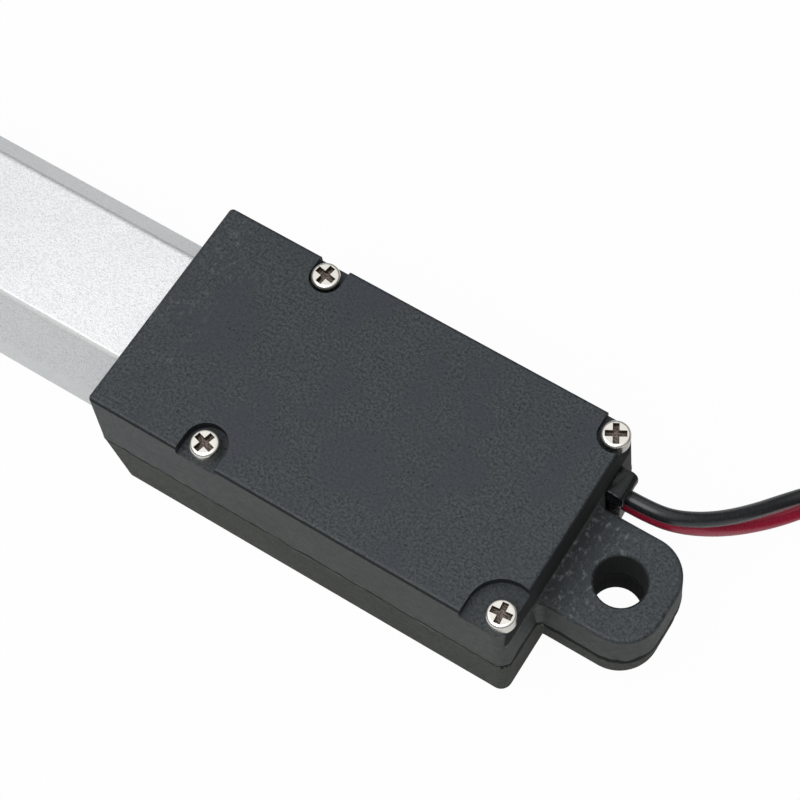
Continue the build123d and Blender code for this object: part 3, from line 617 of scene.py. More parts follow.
@dataclass(frozen=True)
class SatinAluminium(Finish):
    """Bead-blasted clear anodised aluminium, with sparkling specks and painted shade on a blunted
    edge and the side walls.
    """

    tone: Colour = (0.90, 0.905, 0.91)
    roughness: float = 0.42
    metallic: float = 0.75
    speck: float = 0.15
    speck_step: Pair = (0.3, 0.6)
    cloud_size: float = 5.0
    cloud_step: Pair = (0.4, 0.7)
    cloud_share: float = 0.12
    cloud_tone: Colour = (0.66, 0.68, 0.70)
    # where the painted shade lies on the edge and the walls, and how strong and dark it is
    edge_across: Triple = (5.19, 5.49, 0.14)
    edge_height: Pair = (3, 4)
    wall_across: Pair = (7.78, 7.86)
    facet_shade_share: float = 0.5
    facet_shade_tone: Colour = (0.42, 0.43, 0.40)

    def paint(self, graph: Graph) -> None:
        """Builds the finish's nodes.

        Args:
            graph: the material's empty graph.
        """
        fine = graph.noise(self.speck, detail=3, roughness=0.7)
        broad = graph.noise(self.cloud_size, detail=2)
        dull = tuple(0.76 * part for part in self.tone)
        colour = graph.blend(fine.smooth(*self.speck_step), dull, self.tone)
        cloudy = broad.smooth(*self.cloud_step) * self.cloud_share
        colour = graph.blend(cloudy, colour, self.cloud_tone)
        # painted shade: the blunted edge and the side walls darkened
        edge, wall = self.shaded_facets(graph)
        shaded_facets = edge.at_least(0.5 * wall) * self.facet_shade_share
        colour = graph.blend(shaded_facets, colour, self.facet_shade_tone)
        graph.surface(
            Base_Color=colour,
            Metallic=self.metallic,
            Roughness=self.roughness + 0.2 * (fine - 0.5) + 0.3 * edge,
            Normal=graph.bump(fine, 0.03),
        )

    def shaded_facets(self, graph: Graph) -> tuple[Socket, Socket]:
        """Where the painted shade lies: on the tube's far blunted edge and on its side walls.

        Args:
            graph: the material's graph.

        Returns:
            The edge's mask and the walls' mask.
        """
        _, y, z = graph.xyz
        beside = y - MIDDLE_Y
        edge = beside.band(*self.edge_across) * z.smooth(*self.edge_height)
        return edge, abs(beside).smooth(*self.wall_across)


@dataclass(frozen=True)
class PlatedScrew(Finish):
    """Bright nickel plate, dark where the recess holds old grease, with a painted metal glint at
    the recess bottom.
    """

    tone: Colour = (0.80, 0.775, 0.72)
    stain: Colour = (0.62, 0.58, 0.52)
    stain_step: Pair = (0.4, 0.8)
    stain_share: float = 0.35
    axes: tuple[Pair, ...] = ()
    recess_top: float = 0.0
    recess_reach: Pair = (0.9, 0.96)
    grease: Colour = (0.035, 0.018, 0.012)
    grease_height: Triple = (-1.2, -0.14, 0.12)
    # painted metal glint at the bottom of the recess
    recess_glint: Colour = (0.36, 0.29, 0.24)
    recess_glint_height: Pair = (-0.52, -0.40)
    recess_glint_step: Pair = (0.42, 0.58)
    recess_glint_share: float = 0.7

    def paint(self, graph: Graph) -> None:
        """Builds the finish's nodes.

        Args:
            graph: the material's empty graph.
        """
        fine = graph.noise(0.12, detail=3, roughness=0.6)
        stained = fine.smooth(*self.stain_step) * self.stain_share
        colour = graph.blend(stained, self.tone, self.stain)
        rough = 0.24 + 0.14 * (fine - 0.5)
        metal: Value = 1.0
        if self.axes:
            x, y, z = graph.xyz
            height = z - self.recess_top
            near: Value = 0.0
            for axis_x, axis_y in self.axes:
                reach = (x - axis_x).length_with(y - axis_y)
                near = near + (1 - reach.smooth(*self.recess_reach))
            deep = near * height.band(*self.grease_height)
            # painted metal glint: lighter patches at the bottom of the recess
            bare = (1 - height.smooth(*self.recess_glint_height)) * fine.smooth(*self.recess_glint_step)
            old = graph.blend(bare * self.recess_glint_share, self.grease, self.recess_glint)
            colour = graph.blend(deep, colour, old)
            rough = rough + 0.3 * deep
            metal = 1 - deep * 0.8
        graph.surface(
            Base_Color=colour, Metallic=metal, Roughness=rough, Normal=graph.bump(fine, 0.006)
        )


@dataclass(frozen=True)
class Insulation(Finish):
    """Extruded vinyl insulation, smooth with a soft sheen."""

    tone: Colour = (0.018, 0.019, 0.021)
    roughness: float = 0.28

    def paint(self, graph: Graph) -> None:
        """Builds the finish's nodes.

        Args:
            graph: the material's empty graph.
        """
        fine = graph.noise(0.35, detail=3, roughness=0.6)
        dusty = tuple(part + 0.012 for part in self.tone)
        graph.surface(
            Base_Color=graph.blend(fine.smooth(0.45, 0.8), self.tone, dusty),
            Roughness=self.roughness + 0.16 * (fine - 0.5),
            Normal=graph.bump(fine, 0.006),
        )


@dataclass(frozen=True)
class GlossRubber(Finish):
    """Soft black rubber with a wet-looking, uneven gloss."""

    tone: Colour = (0.004, 0.005, 0.006)
    roughness: float = 0.24
    ripple: float = 0.06

    def paint(self, graph: Graph) -> None:
        """Builds the finish's nodes.

        Args:
            graph: the material's empty graph.
        """
        ripple = graph.noise(0.7, detail=3, roughness=0.55)
        fine = graph.noise(0.15, detail=2)
        graph.surface(
            Base_Color=graph.blend(fine.smooth(0.5, 0.8), self.tone, (0.020, 0.022, 0.023)),
            Roughness=self.roughness + 0.3 * (ripple - 0.45),
            Normal=graph.bump(ripple + 0.15 * fine, self.ripple),
            Specular_IOR_Level=0.36,
        )


@dataclass(frozen=True)
class Steel(Finish):
    """Ground or rolled steel, with fine lines along one direction."""

    tone: Colour = (0.60, 0.60, 0.60)
    roughness: float = 0.28
    line_stretch: Triple = (1, 12, 12)
    line_size: float = 0.06

    def paint(self, graph: Graph) -> None:
        """Builds the finish's nodes.

        Args:
            graph: the material's empty graph.
        """
        lines = graph.noise(self.line_size, detail=3, roughness=0.6, stretch=self.line_stretch)
        broad = graph.noise(3.0, detail=2)
        dull = tuple(0.8 * part for part in self.tone)
        graph.surface(
            Base_Color=graph.blend(broad.smooth(0.35, 0.75) * 0.5, self.tone, dull),
            Metallic=1.0,
            Roughness=self.roughness + 0.15 * (lines - 0.5),
            Normal=graph.bump(lines, 0.004),
        )


@dataclass(frozen=True)
class Board(Finish):
    """Green solder mask with the copper's lines showing through."""

    tone: Colour = (0.008, 0.10, 0.045)

    def paint(self, graph: Graph) -> None:
        """Builds the finish's nodes.

        Args:
            graph: the material's empty graph.
        """
        _, _, z = graph.xyz
        run = graph.noise(2.0, detail=0, stretch=(6, 1, 1)) * 0.6
        trace = 1 - abs(z + run - 0.3).smooth(0.22, 0.28)
        graph.surface(
            Base_Color=graph.blend(trace, self.tone, (0.03, 0.2, 0.09)),
            Roughness=0.3 + 0.1 * trace,
            Normal=graph.bump(trace, 0.02),
        )


SCREW_AXES = ((5.8, 8.0), (5.8, -9.0), (32.6, 8.0), (32.6, -9.0))
HOUSING_PLASTIC = MouldedPlastic("housing_plastic", wear_and_shade=HousingWearAndShade())
LOWER_PLASTIC = MouldedPlastic(
    "lower_plastic",
    tone=(0.004, 0.004, 0.003),
    pale=(0.074, 0.075, 0.064),
    blotch=(0.030, 0.027, 0.020),
    roughness=0.58,
    grain=0.26,
    shine=0.30,
    wear_and_shade=HousingWearAndShade(),
)
SEAM_SHADOW = SeamShadow("seam_shadow")
CAP_PLASTIC = MouldedPlastic("cap_plastic", roughness=0.45)
INNER_PLASTIC = MouldedPlastic("inner_plastic", tone=(0.02, 0.02, 0.02), pale=(0.04, 0.04, 0.04))
WHITE_PLASTIC = MouldedPlastic(
    "white_plastic", tone=(0.72, 0.71, 0.66), pale=(0.78, 0.77, 0.73), blotch=(0.7, 0.7, 0.66)
)
TUBE_METAL = SatinAluminium("tube_aluminium")
EYE_METAL = SatinAluminium("eye_aluminium", tone=(0.74, 0.75, 0.76), roughness=0.36)
HOUSING_SCREW_PLATE = PlatedScrew("housing_screw_plate", axes=SCREW_AXES, recess_top=8.05)
CAP_SCREW_PLATE = PlatedScrew("cap_screw_plate")
TINNED_WIRE = PlatedScrew("tinned_wire", tone=(0.72, 0.72, 0.70))
BLACK_VINYL = Insulation("black_vinyl")
RED_VINYL = Insulation("red_vinyl", tone=(0.43, 0.020, 0.056))
GROMMET_RUBBER = GlossRubber("grommet_rubber")
SEAL_RUBBER = GlossRubber("seal_rubber", roughness=0.5, ripple=0.01)
ROD_STEEL = Steel("rod_steel", tone=(0.66, 0.66, 0.66), roughness=0.2)
SHAFT_STEEL = Steel("shaft_steel")
CAN_STEEL = Steel("can_steel", tone=(0.62, 0.61, 0.58), roughness=0.34, line_stretch=(8, 8, 1))
BRASS = Steel("turned_brass", tone=(0.72, 0.52, 0.22), roughness=0.26)
BOARD_LACQUER = Board("board_lacquer")

BEARING = ("bearing_inner_ring", "bearing_outer_ring", "bearing_balls")
GEARS = ("first_gear", "second_gear", "third_gear", "output_gear")
FINISHES: dict[Finish, tuple[str, ...]] = {
    HOUSING_PLASTIC: ("upper_housing",),
    LOWER_PLASTIC: ("lower_housing",),
    HOUSING_SCREW_PLATE: ("housing_screws",),
    CAP_SCREW_PLATE: ("front_cap_screws",),
    TUBE_METAL: ("outer_tube",),
    CAP_PLASTIC: ("front_cap",),
    EYE_METAL: ("rod_end",),
    ROD_STEEL: ("push_rod",),
    SEAL_RUBBER: ("rod_seal",),
    TINNED_WIRE: ("motor_terminals",),
    BLACK_VINYL: ("black_inner_lead",),
    RED_VINYL: ("red_inner_lead",),
    CAN_STEEL: ("motor_can", "gearbox_rear_plate", "gearbox_front_plate"),
    SHAFT_STEEL: ("motor_shaft", "gear_pin", "lead_screw", "screw_clip", "rod_end_pin", *BEARING),
    BRASS: ("motor_pinion", *GEARS, "gearbox_pillars", "rod_bush", "drive_nut"),
    INNER_PLASTIC: ("motor_end_cap", "nut_carrier", "retract_switch", "extend_switch"),
    WHITE_PLASTIC: ("retract_plunger", "extend_plunger"),
    BOARD_LACQUER: ("limit_switch_board",),
}


@contextlib.contextmanager
def editing(piece: bpy.types.Object) -> Iterator[bmesh.types.BMesh]:
    """Opens a piece in edit mode with everything else deselected.

    Args:
        piece: the mesh to edit.

    Yields:
        Its edit mesh.
    """
    bpy.ops.object.select_all(action="DESELECT")
    piece.select_set(True)
    bpy.context.view_layer.objects.active = piece
    bpy.ops.object.mode_set(mode="EDIT")
    bpy.ops.mesh.select_mode(type="VERT")
    try:
        yield bmesh.from_edit_mesh(piece.data)
    finally:
        bpy.ops.object.mode_set(mode="OBJECT")


def pick(piece: bpy.types.Object, wanted: Callable[[Vector], bool]) -> None:
    """Selects just the vertices in a part of an edit mesh.

    Args:
        piece: the piece in edit mode.
        wanted: says whether a place, in millimetres, is in that part.
    """
    mesh = bmesh.from_edit_mesh(piece.data)
    for vertex in mesh.verts:
        vertex.select = wanted(vertex.co / MM)
    mesh.select_flush_mode()
    bmesh.update_edit_mesh(piece.data)


class Shaping(Enum):
    """The modifiers that finish the new pieces."""

    BEVEL = "BEVEL"
    SUBDIVISION = "SUBSURF"
    DISPLACEMENT = "DISPLACE"
    WALL = "SOLIDIFY"
    TWIST = "SIMPLE_DEFORM"


def modify(piece: bpy.types.Object, kind: Shaping, **settings: object) -> None:
    """Adds a modifier and applies it.

    Args:
        piece: the mesh to modify.
        kind: which modifier.
        **settings: its properties.
    """
    bpy.context.view_layer.objects.active = piece
    modifier = piece.modifiers.new(kind.name.lower(), kind.value)
    for name, value in settings.items():
        setattr(modifier, name, value)
    bpy.ops.object.modifier_apply(modifier=modifier.name)


def settle(piece: bpy.types.Object, name: str) -> None:
    """Names a new piece and moves its place into its mesh.

    Args:
        piece: the piece as it was modelled.
        name: its name.
    """
    bpy.ops.object.select_all(action="DESELECT")
    piece.select_set(True)
    bpy.context.view_layer.objects.active = piece
    bpy.ops.object.transform_apply(location=True, rotation=True, scale=True)
    piece.name = name
    piece.data.name = name


def clouds(name: str, size: float) -> bpy.types.Texture:
    """A soft noise for a Displace modifier.

    Args:
        name: the texture's name.
        size: the size of its blotches in millimetres.

    Returns:
        The texture.
    """
    noise = bpy.data.textures.new(name, "CLOUDS")
    noise.noise_scale = size * MM
    return noise


@dataclass
class ShellSeam:
    """The ragged line where the two shells meet, a hair proud of them."""

    name: str = "shell_seam"
    cut_height: float = 0.12
    gap: float = 0.13
    lug_gap: float = 0.55
    thickness: float = 0.05
    wander: float = 0.75
    wander_size: float = 0.6
    cuts: tuple[int, ...] = (15, 3)
    step: float = 0.2
    edge_depth: float = 0.6
    lug_end: float = 5.2

    def build(self) -> bpy.types.Object:
        """Models the seam from a section of the upper shell.

        Returns:
            The seam.
        """
        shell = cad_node("upper_housing")
        seam = bpy.data.objects.new(self.name, shell.data.copy())
        bpy.context.scene.collection.objects.link(seam)
        with editing(seam):
            self.cut_outline(seam)
            self.divide(seam)
            bpy.ops.mesh.select_all(action="SELECT")
            down = {"value": (0, 0, -self.gap * MM)}
            bpy.ops.mesh.extrude_region_move(TRANSFORM_OT_translate=down)
            bpy.ops.mesh.select_all(action="SELECT")
            drop = (self.gap / 2 - self.cut_height) * MM
            bpy.ops.transform.translate(value=(0, 0, drop))
            pick(seam, lambda place: place.x < self.lug_end and place.z < 0)
            bpy.ops.transform.translate(value=(0, 0, -self.lug_gap * MM))
        wander = clouds(self.name, self.wander_size)
        modify(seam, Shaping.DISPLACEMENT, texture=wander, direction="Z", strength=self.wander * MM)
        modify(seam, Shaping.WALL, thickness=self.thickness * MM, offset=0)
        with editing(seam):
            bpy.ops.mesh.select_all(action="SELECT")
            bpy.ops.mesh.normals_make_consistent(inside=False)
        seam.data.materials.clear()
        dress(seam, SEAM_SHADOW)
        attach(seam, "housing")
        log.info("%s has %d faces", self.name, len(seam.data.polygons))
        return seam

    def cut_outline(self, seam: bpy.types.Object) -> None:
        """Leaves only the outer line of the section.

        Args:
            seam: the copied shell, in edit mode.
        """
        bpy.ops.mesh.select_all(action="SELECT")
        bpy.ops.mesh.remove_doubles(threshold=MM / 1000)
        bpy.ops.mesh.select_all(action="SELECT")
        bpy.ops.mesh.bisect(
            plane_co=(0, 0, self.cut_height * MM),
            plane_no=(0, 0, 1),
            clear_inner=True,
            clear_outer=True,
        )
        low, high = (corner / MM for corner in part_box("upper_housing"))
        rear = GROMMET_BLOCK[0][0] + self.edge_depth
        gate = (GROMMET_BLOCK[0][1] - self.edge_depth, GROMMET_BLOCK[1][1] + self.edge_depth)

        def hidden(place: Vector) -> bool:
            """Whether a place on the section can't be seen from outside.

            Args:
                place: the place in millimetres.

            Returns:
                True where it is hidden.
            """
            if place.x < rear:
                return False
            inside = low.y + self.edge_depth < place.y < high.y - self.edge_depth
            gated = gate[0] < place.y < gate[1]
            behind = rear + 2 * self.edge_depth < place.x < high.x - self.edge_depth
            return inside and (behind or gated or place.x > high.x - self.edge_depth)

        pick(seam, hidden)
        bpy.ops.mesh.delete(type="VERT")

    def divide(self, seam: bpy.types.Object) -> None:
        """Divides the straight stretches, so that they can wander.

        Args:
            seam: the section's outline, in edit mode.
        """
        mesh = bmesh.from_edit_mesh(seam.data)
        for cuts in self.cuts:
            bpy.ops.mesh.select_all(action="DESELECT")
            for edge in mesh.edges:
                edge.select_set(edge.calc_length() > (cuts + 1) * self.step * MM)
            bmesh.update_edit_mesh(seam.data)
            bpy.ops.mesh.subdivide(number_cuts=cuts)


@dataclass
class ExitGrommet:
    """The soft block round both leads: a rounded cap over a narrower body."""

    name: str = "exit_grommet"
    ledge: Pair = (2.45, 2.75)
    body_set_back: float = 0.28
    body_width: float = 0.84
    cap_round: float = 0.75
    cap_segments: int = 4
    body_round: float = 0.2
    body_segments: int = 3
    sharp_angle: float = 0.5
    facing: float = 0.9
    neck_reach: float = 1.9
    neck_inset: float = 0.5
    softness: float = 0.10
    ripple_size: float = 0.9

    def build(self) -> bpy.types.Object:
        """Models the grommet in place of the plain one.

        Returns:
            The grommet.
        """
        low, high = (Vector(corner) for corner in GROMMET_BLOCK)
        middle = (low + high) / 2 * MM
        bpy.ops.mesh.primitive_cube_add(size=1, location=middle, scale=(high - low) * MM)
        block = bpy.context.object
        settle(block, self.name)
        with editing(block):
            for height in self.ledge:
                bpy.ops.mesh.select_all(action="SELECT")
                bpy.ops.mesh.bisect(plane_co=(0, 0, height * MM), plane_no=(0, 0, 1))
            self.draw_in_body(block, low, high)
            self.grow_neck(block)
            self.round_cap(block, high)
        modify(
            block,
            Shaping.BEVEL,
            width=self.body_round * MM,
            segments=self.body_segments,
            limit_method="ANGLE",
            angle_limit=self.sharp_angle,
        )
        modify(block, Shaping.SUBDIVISION, levels=2, render_levels=2)
        ripple = clouds(self.name, self.ripple_size)
        modify(block, Shaping.DISPLACEMENT, texture=ripple, strength=self.softness * MM)
        with editing(block):
            bpy.ops.mesh.select_all(action="SELECT")
            bpy.ops.mesh.normals_make_consistent(inside=False)
            bpy.ops.mesh.faces_shade_smooth()
        dress(block, GROMMET_RUBBER)
        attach(block, "housing")
        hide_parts("lead_grommet")
        log.info("%s has %d faces", self.name, len(block.data.polygons))
        return block

    def draw_in_body(self, block: bpy.types.Object, low: Vector, high: Vector) -> None:
        """Makes the body below the ledge narrower and sets it back.

        Args:
            block: the block in edit mode.
            low: its lowest corner in millimetres.
            high: its highest corner in millimetres.
        """
        below = self.ledge[0] + NEAR
        pick(block, lambda place: place.z < below)
        middle = (low + high) / 2 * MM
        bpy.ops.transform.resize(value=(1, self.body_width, 1), center_override=middle)
        pick(block, lambda place: place.z < below and place.x < low.x + NEAR)
        bpy.ops.transform.translate(value=(self.body_set_back * MM, 0, 0))

    def grow_neck(self, block: bpy.types.Object) -> None:
        """Extrudes the neck that passes through the wall.

        Args:
            block: the block in edit mode.
        """
        bpy.ops.mesh.select_mode(type="FACE")
        mesh = bmesh.from_edit_mesh(block.data)
        for face in mesh.faces:
            low = face.calc_center_median().z < self.ledge[0] * MM
            face.select_set(low and face.normal.x > self.facing)
        bmesh.update_edit_mesh(block.data)
        bpy.ops.mesh.inset(thickness=self.neck_inset * MM)
        inward = {"value": (self.neck_reach * MM, 0, 0)}
        bpy.ops.mesh.extrude_region_move(TRANSFORM_OT_translate=inward)
        bpy.ops.mesh.select_mode(type="VERT")

    def round_cap(self, block: bpy.types.Object, high: Vector) -> None:
        """Rounds the cap's outer edges well.

        Args:
            block: the block in edit mode.
            high: its highest corner in millimetres.
        """
        pick(block, lambda place: place.z > high.z - NEAR and place.x < high.x - NEAR)
        bpy.ops.mesh.bevel(offset=self.cap_round * MM, segments=self.cap_segments, affect="EDGES")


@dataclass
class StrandedTip:
    """A lead's bare end: six tinned strands twisted round a seventh."""

    lead: str
    strand_radius: float = 0.112
    sides: int = 10
    cuts: int = 15
    twist: float = 320.0
    around: int = 6
    end_round: float = 0.4

    def build(self) -> bpy.types.Object:
        """Models the strands in place of the plain tip.

        Returns:
            The bundle of strands.
        """
        node = f"{self.lead}_tip"
        low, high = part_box(node)
        strands = [self.strand(high.x - low.x, index) for index in range(self.around + 1)]
        bpy.ops.object.select_all(action="DESELECT")
        for strand in strands:
            strand.select_set(True)
        bpy.context.view_layer.objects.active = strands[0]
        bpy.ops.object.join()
        bundle = bpy.context.object
        modify(
            bundle,
            Shaping.TWIST,
            deform_method="TWIST",
            deform_axis="X",
            angle=math.radians(self.twist),
        )
        bundle.location = (low + high) / 2
        settle(bundle, f"{self.lead}_strands")
        with editing(bundle):
            bpy.ops.mesh.select_all(action="SELECT")
            bpy.ops.mesh.faces_shade_smooth()
        dress(bundle, TINNED_WIRE)
        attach(bundle, "housing")
        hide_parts(node)
        log.info("%s replaces %s", bundle.name, node)
        return bundle

    def strand(self, length: float, index: int) -> bpy.types.Object:
        """Adds one straight strand of the bundle.

        Args:
            length: its length in metres.
            index: 0 for the middle strand, or a number from 1 for those round it.

        Returns:
            The strand.
        """
        angle = 2 * math.pi / self.around * index
        reach = 2 * self.strand_radius * MM * (index > 0)
        bpy.ops.mesh.primitive_cylinder_add(
            vertices=self.sides,
            radius=self.strand_radius * MM,
            depth=length,
            location=(0, reach * math.cos(angle), reach * math.sin(angle)),
            rotation=(0, math.pi / 2, 0),
        )
        strand = bpy.context.object
        settle(strand, "strand")
        with editing(strand) as mesh:
            bpy.ops.mesh.select_all(action="DESELECT")
            for edge in mesh.edges:
                edge.select_set(edge.calc_length() > length / 2)
            bmesh.update_edit_mesh(strand.data)
            bpy.ops.mesh.subdivide(number_cuts=self.cuts)
        rounding = self.strand_radius * self.end_round * MM
        modify(strand, Shaping.BEVEL, width=rounding, segments=2, limit_method="ANGLE")
        return strand


def dress(piece: bpy.types.Object, finish: Finish) -> None:
    """Gives a piece its finish.

    Args:
        piece: a CAD node or a new piece.
        finish: what it is finished in.
    """
    painted = material(finish)
    if not piece.material_slots:
        piece.data.materials.append(painted)
    for slot in piece.material_slots:
        slot.material = painted


@dataclass(frozen=True)
class Lamp:
    """A soft rectangular lamp aimed at the part."""

    name: str
    place: Triple
    size: float
    power: float
    colour: Colour = (1.0, 1.0, 1.0)

    def build(self, target: Vector) -> None:
        """Adds the lamp.

        Args:
            target: the point that it faces.
        """
        light = bpy.data.lights.new(self.name, "AREA")
        light.size = self.size * MM
        light.energy = self.power
        light.color = self.colour
        lamp = bpy.data.objects.new(self.name, light)
        lamp.location = Vector(self.place) * MM
        lamp.rotation_euler = (target - lamp.location).to_track_quat("-Z", "Y").to_euler()
        bpy.context.scene.collection.objects.link(lamp)


@dataclass
class Studio:
    """The floor, the lamps, the white surroundings and the camera."""

    floor_z: float
    floor_size: float = 1200.0
    floor_tone: float = 0.9
    floor_glow: float = 0.97
    mirrored_glow: float = 0.22
    ambient: float = 0.28
    horizon: float = 0.12
    sky_rise: Pair = (0.25, 0.8)
    lamps: tuple[Lamp, ...] = (
        Lamp("overhead_lamp", (60, 190, 420), 420, 1.45, (0.95, 0.985, 1.0)),
    )
    camera_place: Triple = (-18.055, 43.599, 138.127)
    camera_forward: Triple = (0.19234, -0.30559, -0.93253)
    camera_right: Triple = (-0.85534, -0.51803, -0.00666)
    lens: float = 82.95
    shift: Pair = (-0.145, 0.1477)
    aim: Triple = (30, 0, 0)

    def build(self) -> None:
        """Builds the floor, world, lamps and camera."""
        self.place_camera()
        self.lay_floor()
        self.light_world()
        for lamp in self.lamps:
            lamp.build(Vector(self.aim) * MM)
        bpy.context.scene.view_settings.view_transform = "Standard"

    def place_camera(self) -> None:
        """Sets the camera where the photograph was taken from."""
        lens = bpy.data.cameras.new("photo_camera")
        lens.lens = self.lens
        lens.shift_x, lens.shift_y = self.shift
        lens.clip_start = MM
        back = -Vector(self.camera_forward).normalized()
        right = Vector(self.camera_right).normalized()
        up = back.cross(right)
        camera = bpy.data.objects.new("photo_camera", lens)
        turned = Matrix((right, up, back)).transposed().to_4x4()
        camera.matrix_world = Matrix.Translation(Vector(self.camera_place) * MM) @ turned
        bpy.context.scene.collection.objects.link(camera)
        bpy.context.scene.camera = camera

    def lay_floor(self) -> None:
        """Lays the pale floor, which keeps the part's shadow."""
        bpy.ops.mesh.primitive_plane_add(size=self.floor_size * MM, location=(0, 0, self.floor_z))
        floor = bpy.context.object
        floor.name = "floor"
        painted = bpy.data.materials.new("floor_paper")
        painted.use_nodes = True
        graph = Graph(painted.node_tree)
        tone = (self.floor_tone,) * 3 + (1.0,)
        paper = graph.node("ShaderNodeBsdfDiffuse", inputs={"Color": tone})
        white = graph.node("ShaderNodeEmission", inputs={"Strength": 1.0})
        viewed = graph.node("ShaderNodeLightPath", output="Is Camera Ray") * self.floor_glow
        glow = viewed.at_least(self.seen(graph) * self.mirrored_glow)
        mixed = graph.node("ShaderNodeMixShader", inputs={0: glow, 1: paper, 2: white})
        graph.node("ShaderNodeOutputMaterial", inputs={"Surface": mixed})
        floor.data.materials.append(painted)

    def light_world(self) -> None:
        """Makes the surroundings white to the eye, and dim at the sides in reflections."""
        world = bpy.data.worlds.new("white_studio")
        world.use_nodes = True
        graph = Graph(world.node_tree)
        view = graph.node("ShaderNodeLightPath", output="Is Camera Ray")
        height = graph.node("ShaderNodeSeparateXYZ", inputs={0: graph.place_in_sky}, output=2)
        mirrored = self.horizon + (1 - self.horizon) * abs(height).smooth(*self.sky_rise)
        glossy = self.seen(graph) * mirrored.at_least(view)
        strength = glossy + (1 - self.seen(graph)) * self.ambient
        inputs = {"Color": (1, 1, 1, 1), "Strength": strength}
        sky = graph.node("ShaderNodeBackground", inputs=inputs)
        graph.node("ShaderNodeOutputWorld", inputs={"Surface": sky})
        bpy.context.scene.world = world

    @staticmethod
    def seen(graph: Graph) -> Socket:
        """1 for a ray from the camera, a reflection or a clear surface.

        Args:
            graph: the graph to build in.

        Returns:
            The mask.
        """
        kinds = ("Is Camera Ray", "Is Glossy Ray", "Is Transmission Ray")
        rays = [graph.node("ShaderNodeLightPath", output=kind) for kind in kinds]
        return rays[0].at_least(rays[1]).at_least(rays[2])


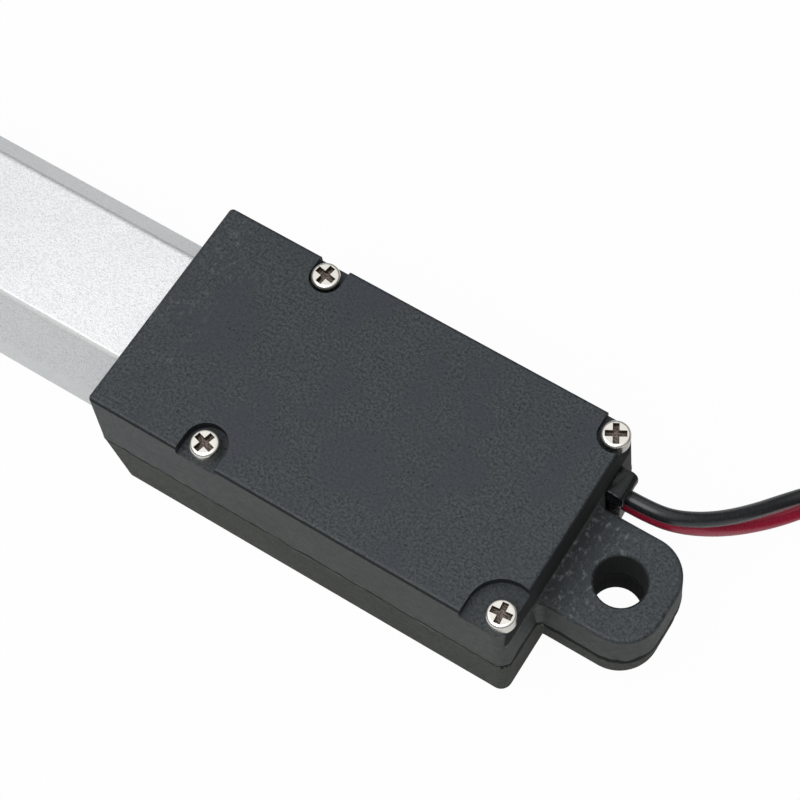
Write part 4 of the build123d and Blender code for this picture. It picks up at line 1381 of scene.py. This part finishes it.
@dataclass
class Lead:
    """A free lead: its route from the grommet, its put-away coil and its bare tip.

    The winding is each turn's column and layer in the coil, from the first turn to the last.
    """

    name: str
    finish: Finish
    nodes: tuple[str, ...]
    route: tuple[Triple, ...]
    tail: tuple[Triple, ...]
    coil_base: float
    last_angle: float
    length: float
    tip: StrandedTip
    diameter: float = 1.3
    coil_center: Pair = (-17.8, -21.5)
    coil_radius: float = 8.25
    steps: int = 18
    smoothness: int = 6
    winding: tuple[tuple[int, int], ...] = ((0, 0), (0, 1), (1, 1), (1, 0), (2, 0))
    ramp: Pair = (0.68, 0.92)

    def build(self) -> bpy.types.Object:
        """Lays the lead as one smooth curve.

        Returns:
            The lead's curve.
        """
        points = [*self.route, *self.turns(), *self.tail]
        curve = bpy.data.curves.new(self.name, "CURVE")
        curve.dimensions = "3D"
        curve.bevel_depth = self.diameter / 2 * MM
        curve.bevel_resolution = curve.resolution_u = self.smoothness
        curve.use_fill_caps = True
        spline = curve.splines.new("NURBS")
        spline.points.add(len(points) - 1)
        for point, place in zip(spline.points, points):
            point.co = (*(Vector(place) * MM), 1.0)
        spline.order_u = 3
        spline.use_endpoint_u = True
        lead = bpy.data.objects.new(self.name, curve)
        bpy.context.scene.collection.objects.link(lead)
        dress(lead, self.finish)
        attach(lead, "housing")
        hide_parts(*self.nodes)
        log.info("%s is %.1f mm long", self.name, spline.calc_length() / MM)
        self.tip.build()
        return lead

    def turns(self) -> list[Triple]:
        """The coil's control points, clockwise from where the route meets it.

        A curve of order 3 cuts the corners of its control points, so they stand further out.

        Returns:
            The points in millimetres.
        """
        step = 2 * math.pi / self.steps
        spread = 1 / (0.75 + 0.25 * math.cos(step))
        count = round(self.last_angle / math.degrees(step))
        points = []
        for index in range(1, count + 1):
            radius, height = self.lie(index / self.steps)
            angle = -index * step
            points.append(
                (
                    self.coil_center[0] + radius * spread * math.cos(angle),
                    self.coil_center[1] + radius * spread * math.sin(angle),
                    height,
                )
            )
        return points

    def lie(self, turns: float) -> Pair:
        """Where the coil lies after some turns.

        Args:
            turns: how many turns have been wound.

        Returns:
            The radius and the height, in millimetres.
        """
        last = len(self.winding) - 1
        turn = min(int(turns), last)
        present, following = self.winding[turn], self.winding[min(turn + 1, last)]
        start, end = self.ramp
        share = min(max((turns - turn - start) / (end - start), 0.0), 1.0)
        share = share * share * (3 - 2 * share)
        column, layer = (now + share * (then - now) for now, then in zip(present, following))
        return self.coil_radius - column * self.diameter, self.coil_base + layer * self.diameter


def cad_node(name: str) -> bpy.types.Object:
    """The frame's object of a CAD node."""
    return FRAME["nodes"][name]


BLACK_LEAD = Lead(
    name="lead_black",
    finish=BLACK_VINYL,
    nodes=("black_lead", "black_lead_coil"),
    route=(
        (3.1, -7.1, 2.05),
        (1.0, -7.1, 2.05),
        (-1.0, -7.8, 1.4),
        (-3.3, -9.9, -0.3),
        (-5.3, -12.7, -2.2),
        (-7.2, -16.0, -4.1),
        (-9.2, -18.8, -5.15),
        (-9.55, -21.5, -5.15),
    ),
    tail=((-22.2, -18.3, -5.9), (-21.3, -17.75, -7.2), (-20.05, -17.8, -7.7)),
    coil_base=-5.15,
    last_angle=1640,
    length=240,
    tip=StrandedTip("black_lead"),
)
RED_LEAD = Lead(
    name="lead_red",
    finish=RED_VINYL,
    nodes=("red_lead", "red_lead_coil"),
    route=(
        (3.1, -7.1, 0.68),
        (0.7, -7.1, 0.68),
        (-1.6, -8.1, -0.3),
        (-3.5, -10.3, -3.1),
        (-5.3, -12.8, -5.6),
        (-7.3, -15.6, -7.3),
        (-9.2, -18.3, -7.75),
        (-9.55, -21.5, -7.75),
    ),
    tail=((-13.2, -24.7, -7.75), (-14.2, -25.15, -7.75), (-15.55, -25.2, -7.75)),
    coil_base=-7.75,
    last_angle=1460,
    length=225,
    tip=StrandedTip("red_lead"),
)


def main() -> None:
    """Builds and dresses the whole actuator."""
    logging.basicConfig(level=logging.INFO, format="%(name)s: %(message)s")
    Studio(floor_z=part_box("lower_housing")[0][2]).build()
    for piece in (BLACK_LEAD, RED_LEAD, ExitGrommet(), ShellSeam()):
        piece.build()
    for finish, nodes in FINISHES.items():
        for node in nodes:
            if node in FRAME["nodes"]:
                dress(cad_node(node), finish)
                log.info("%s is finished in %s", node, finish.name)


if __name__ == "__main__":
    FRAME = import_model()
    main()
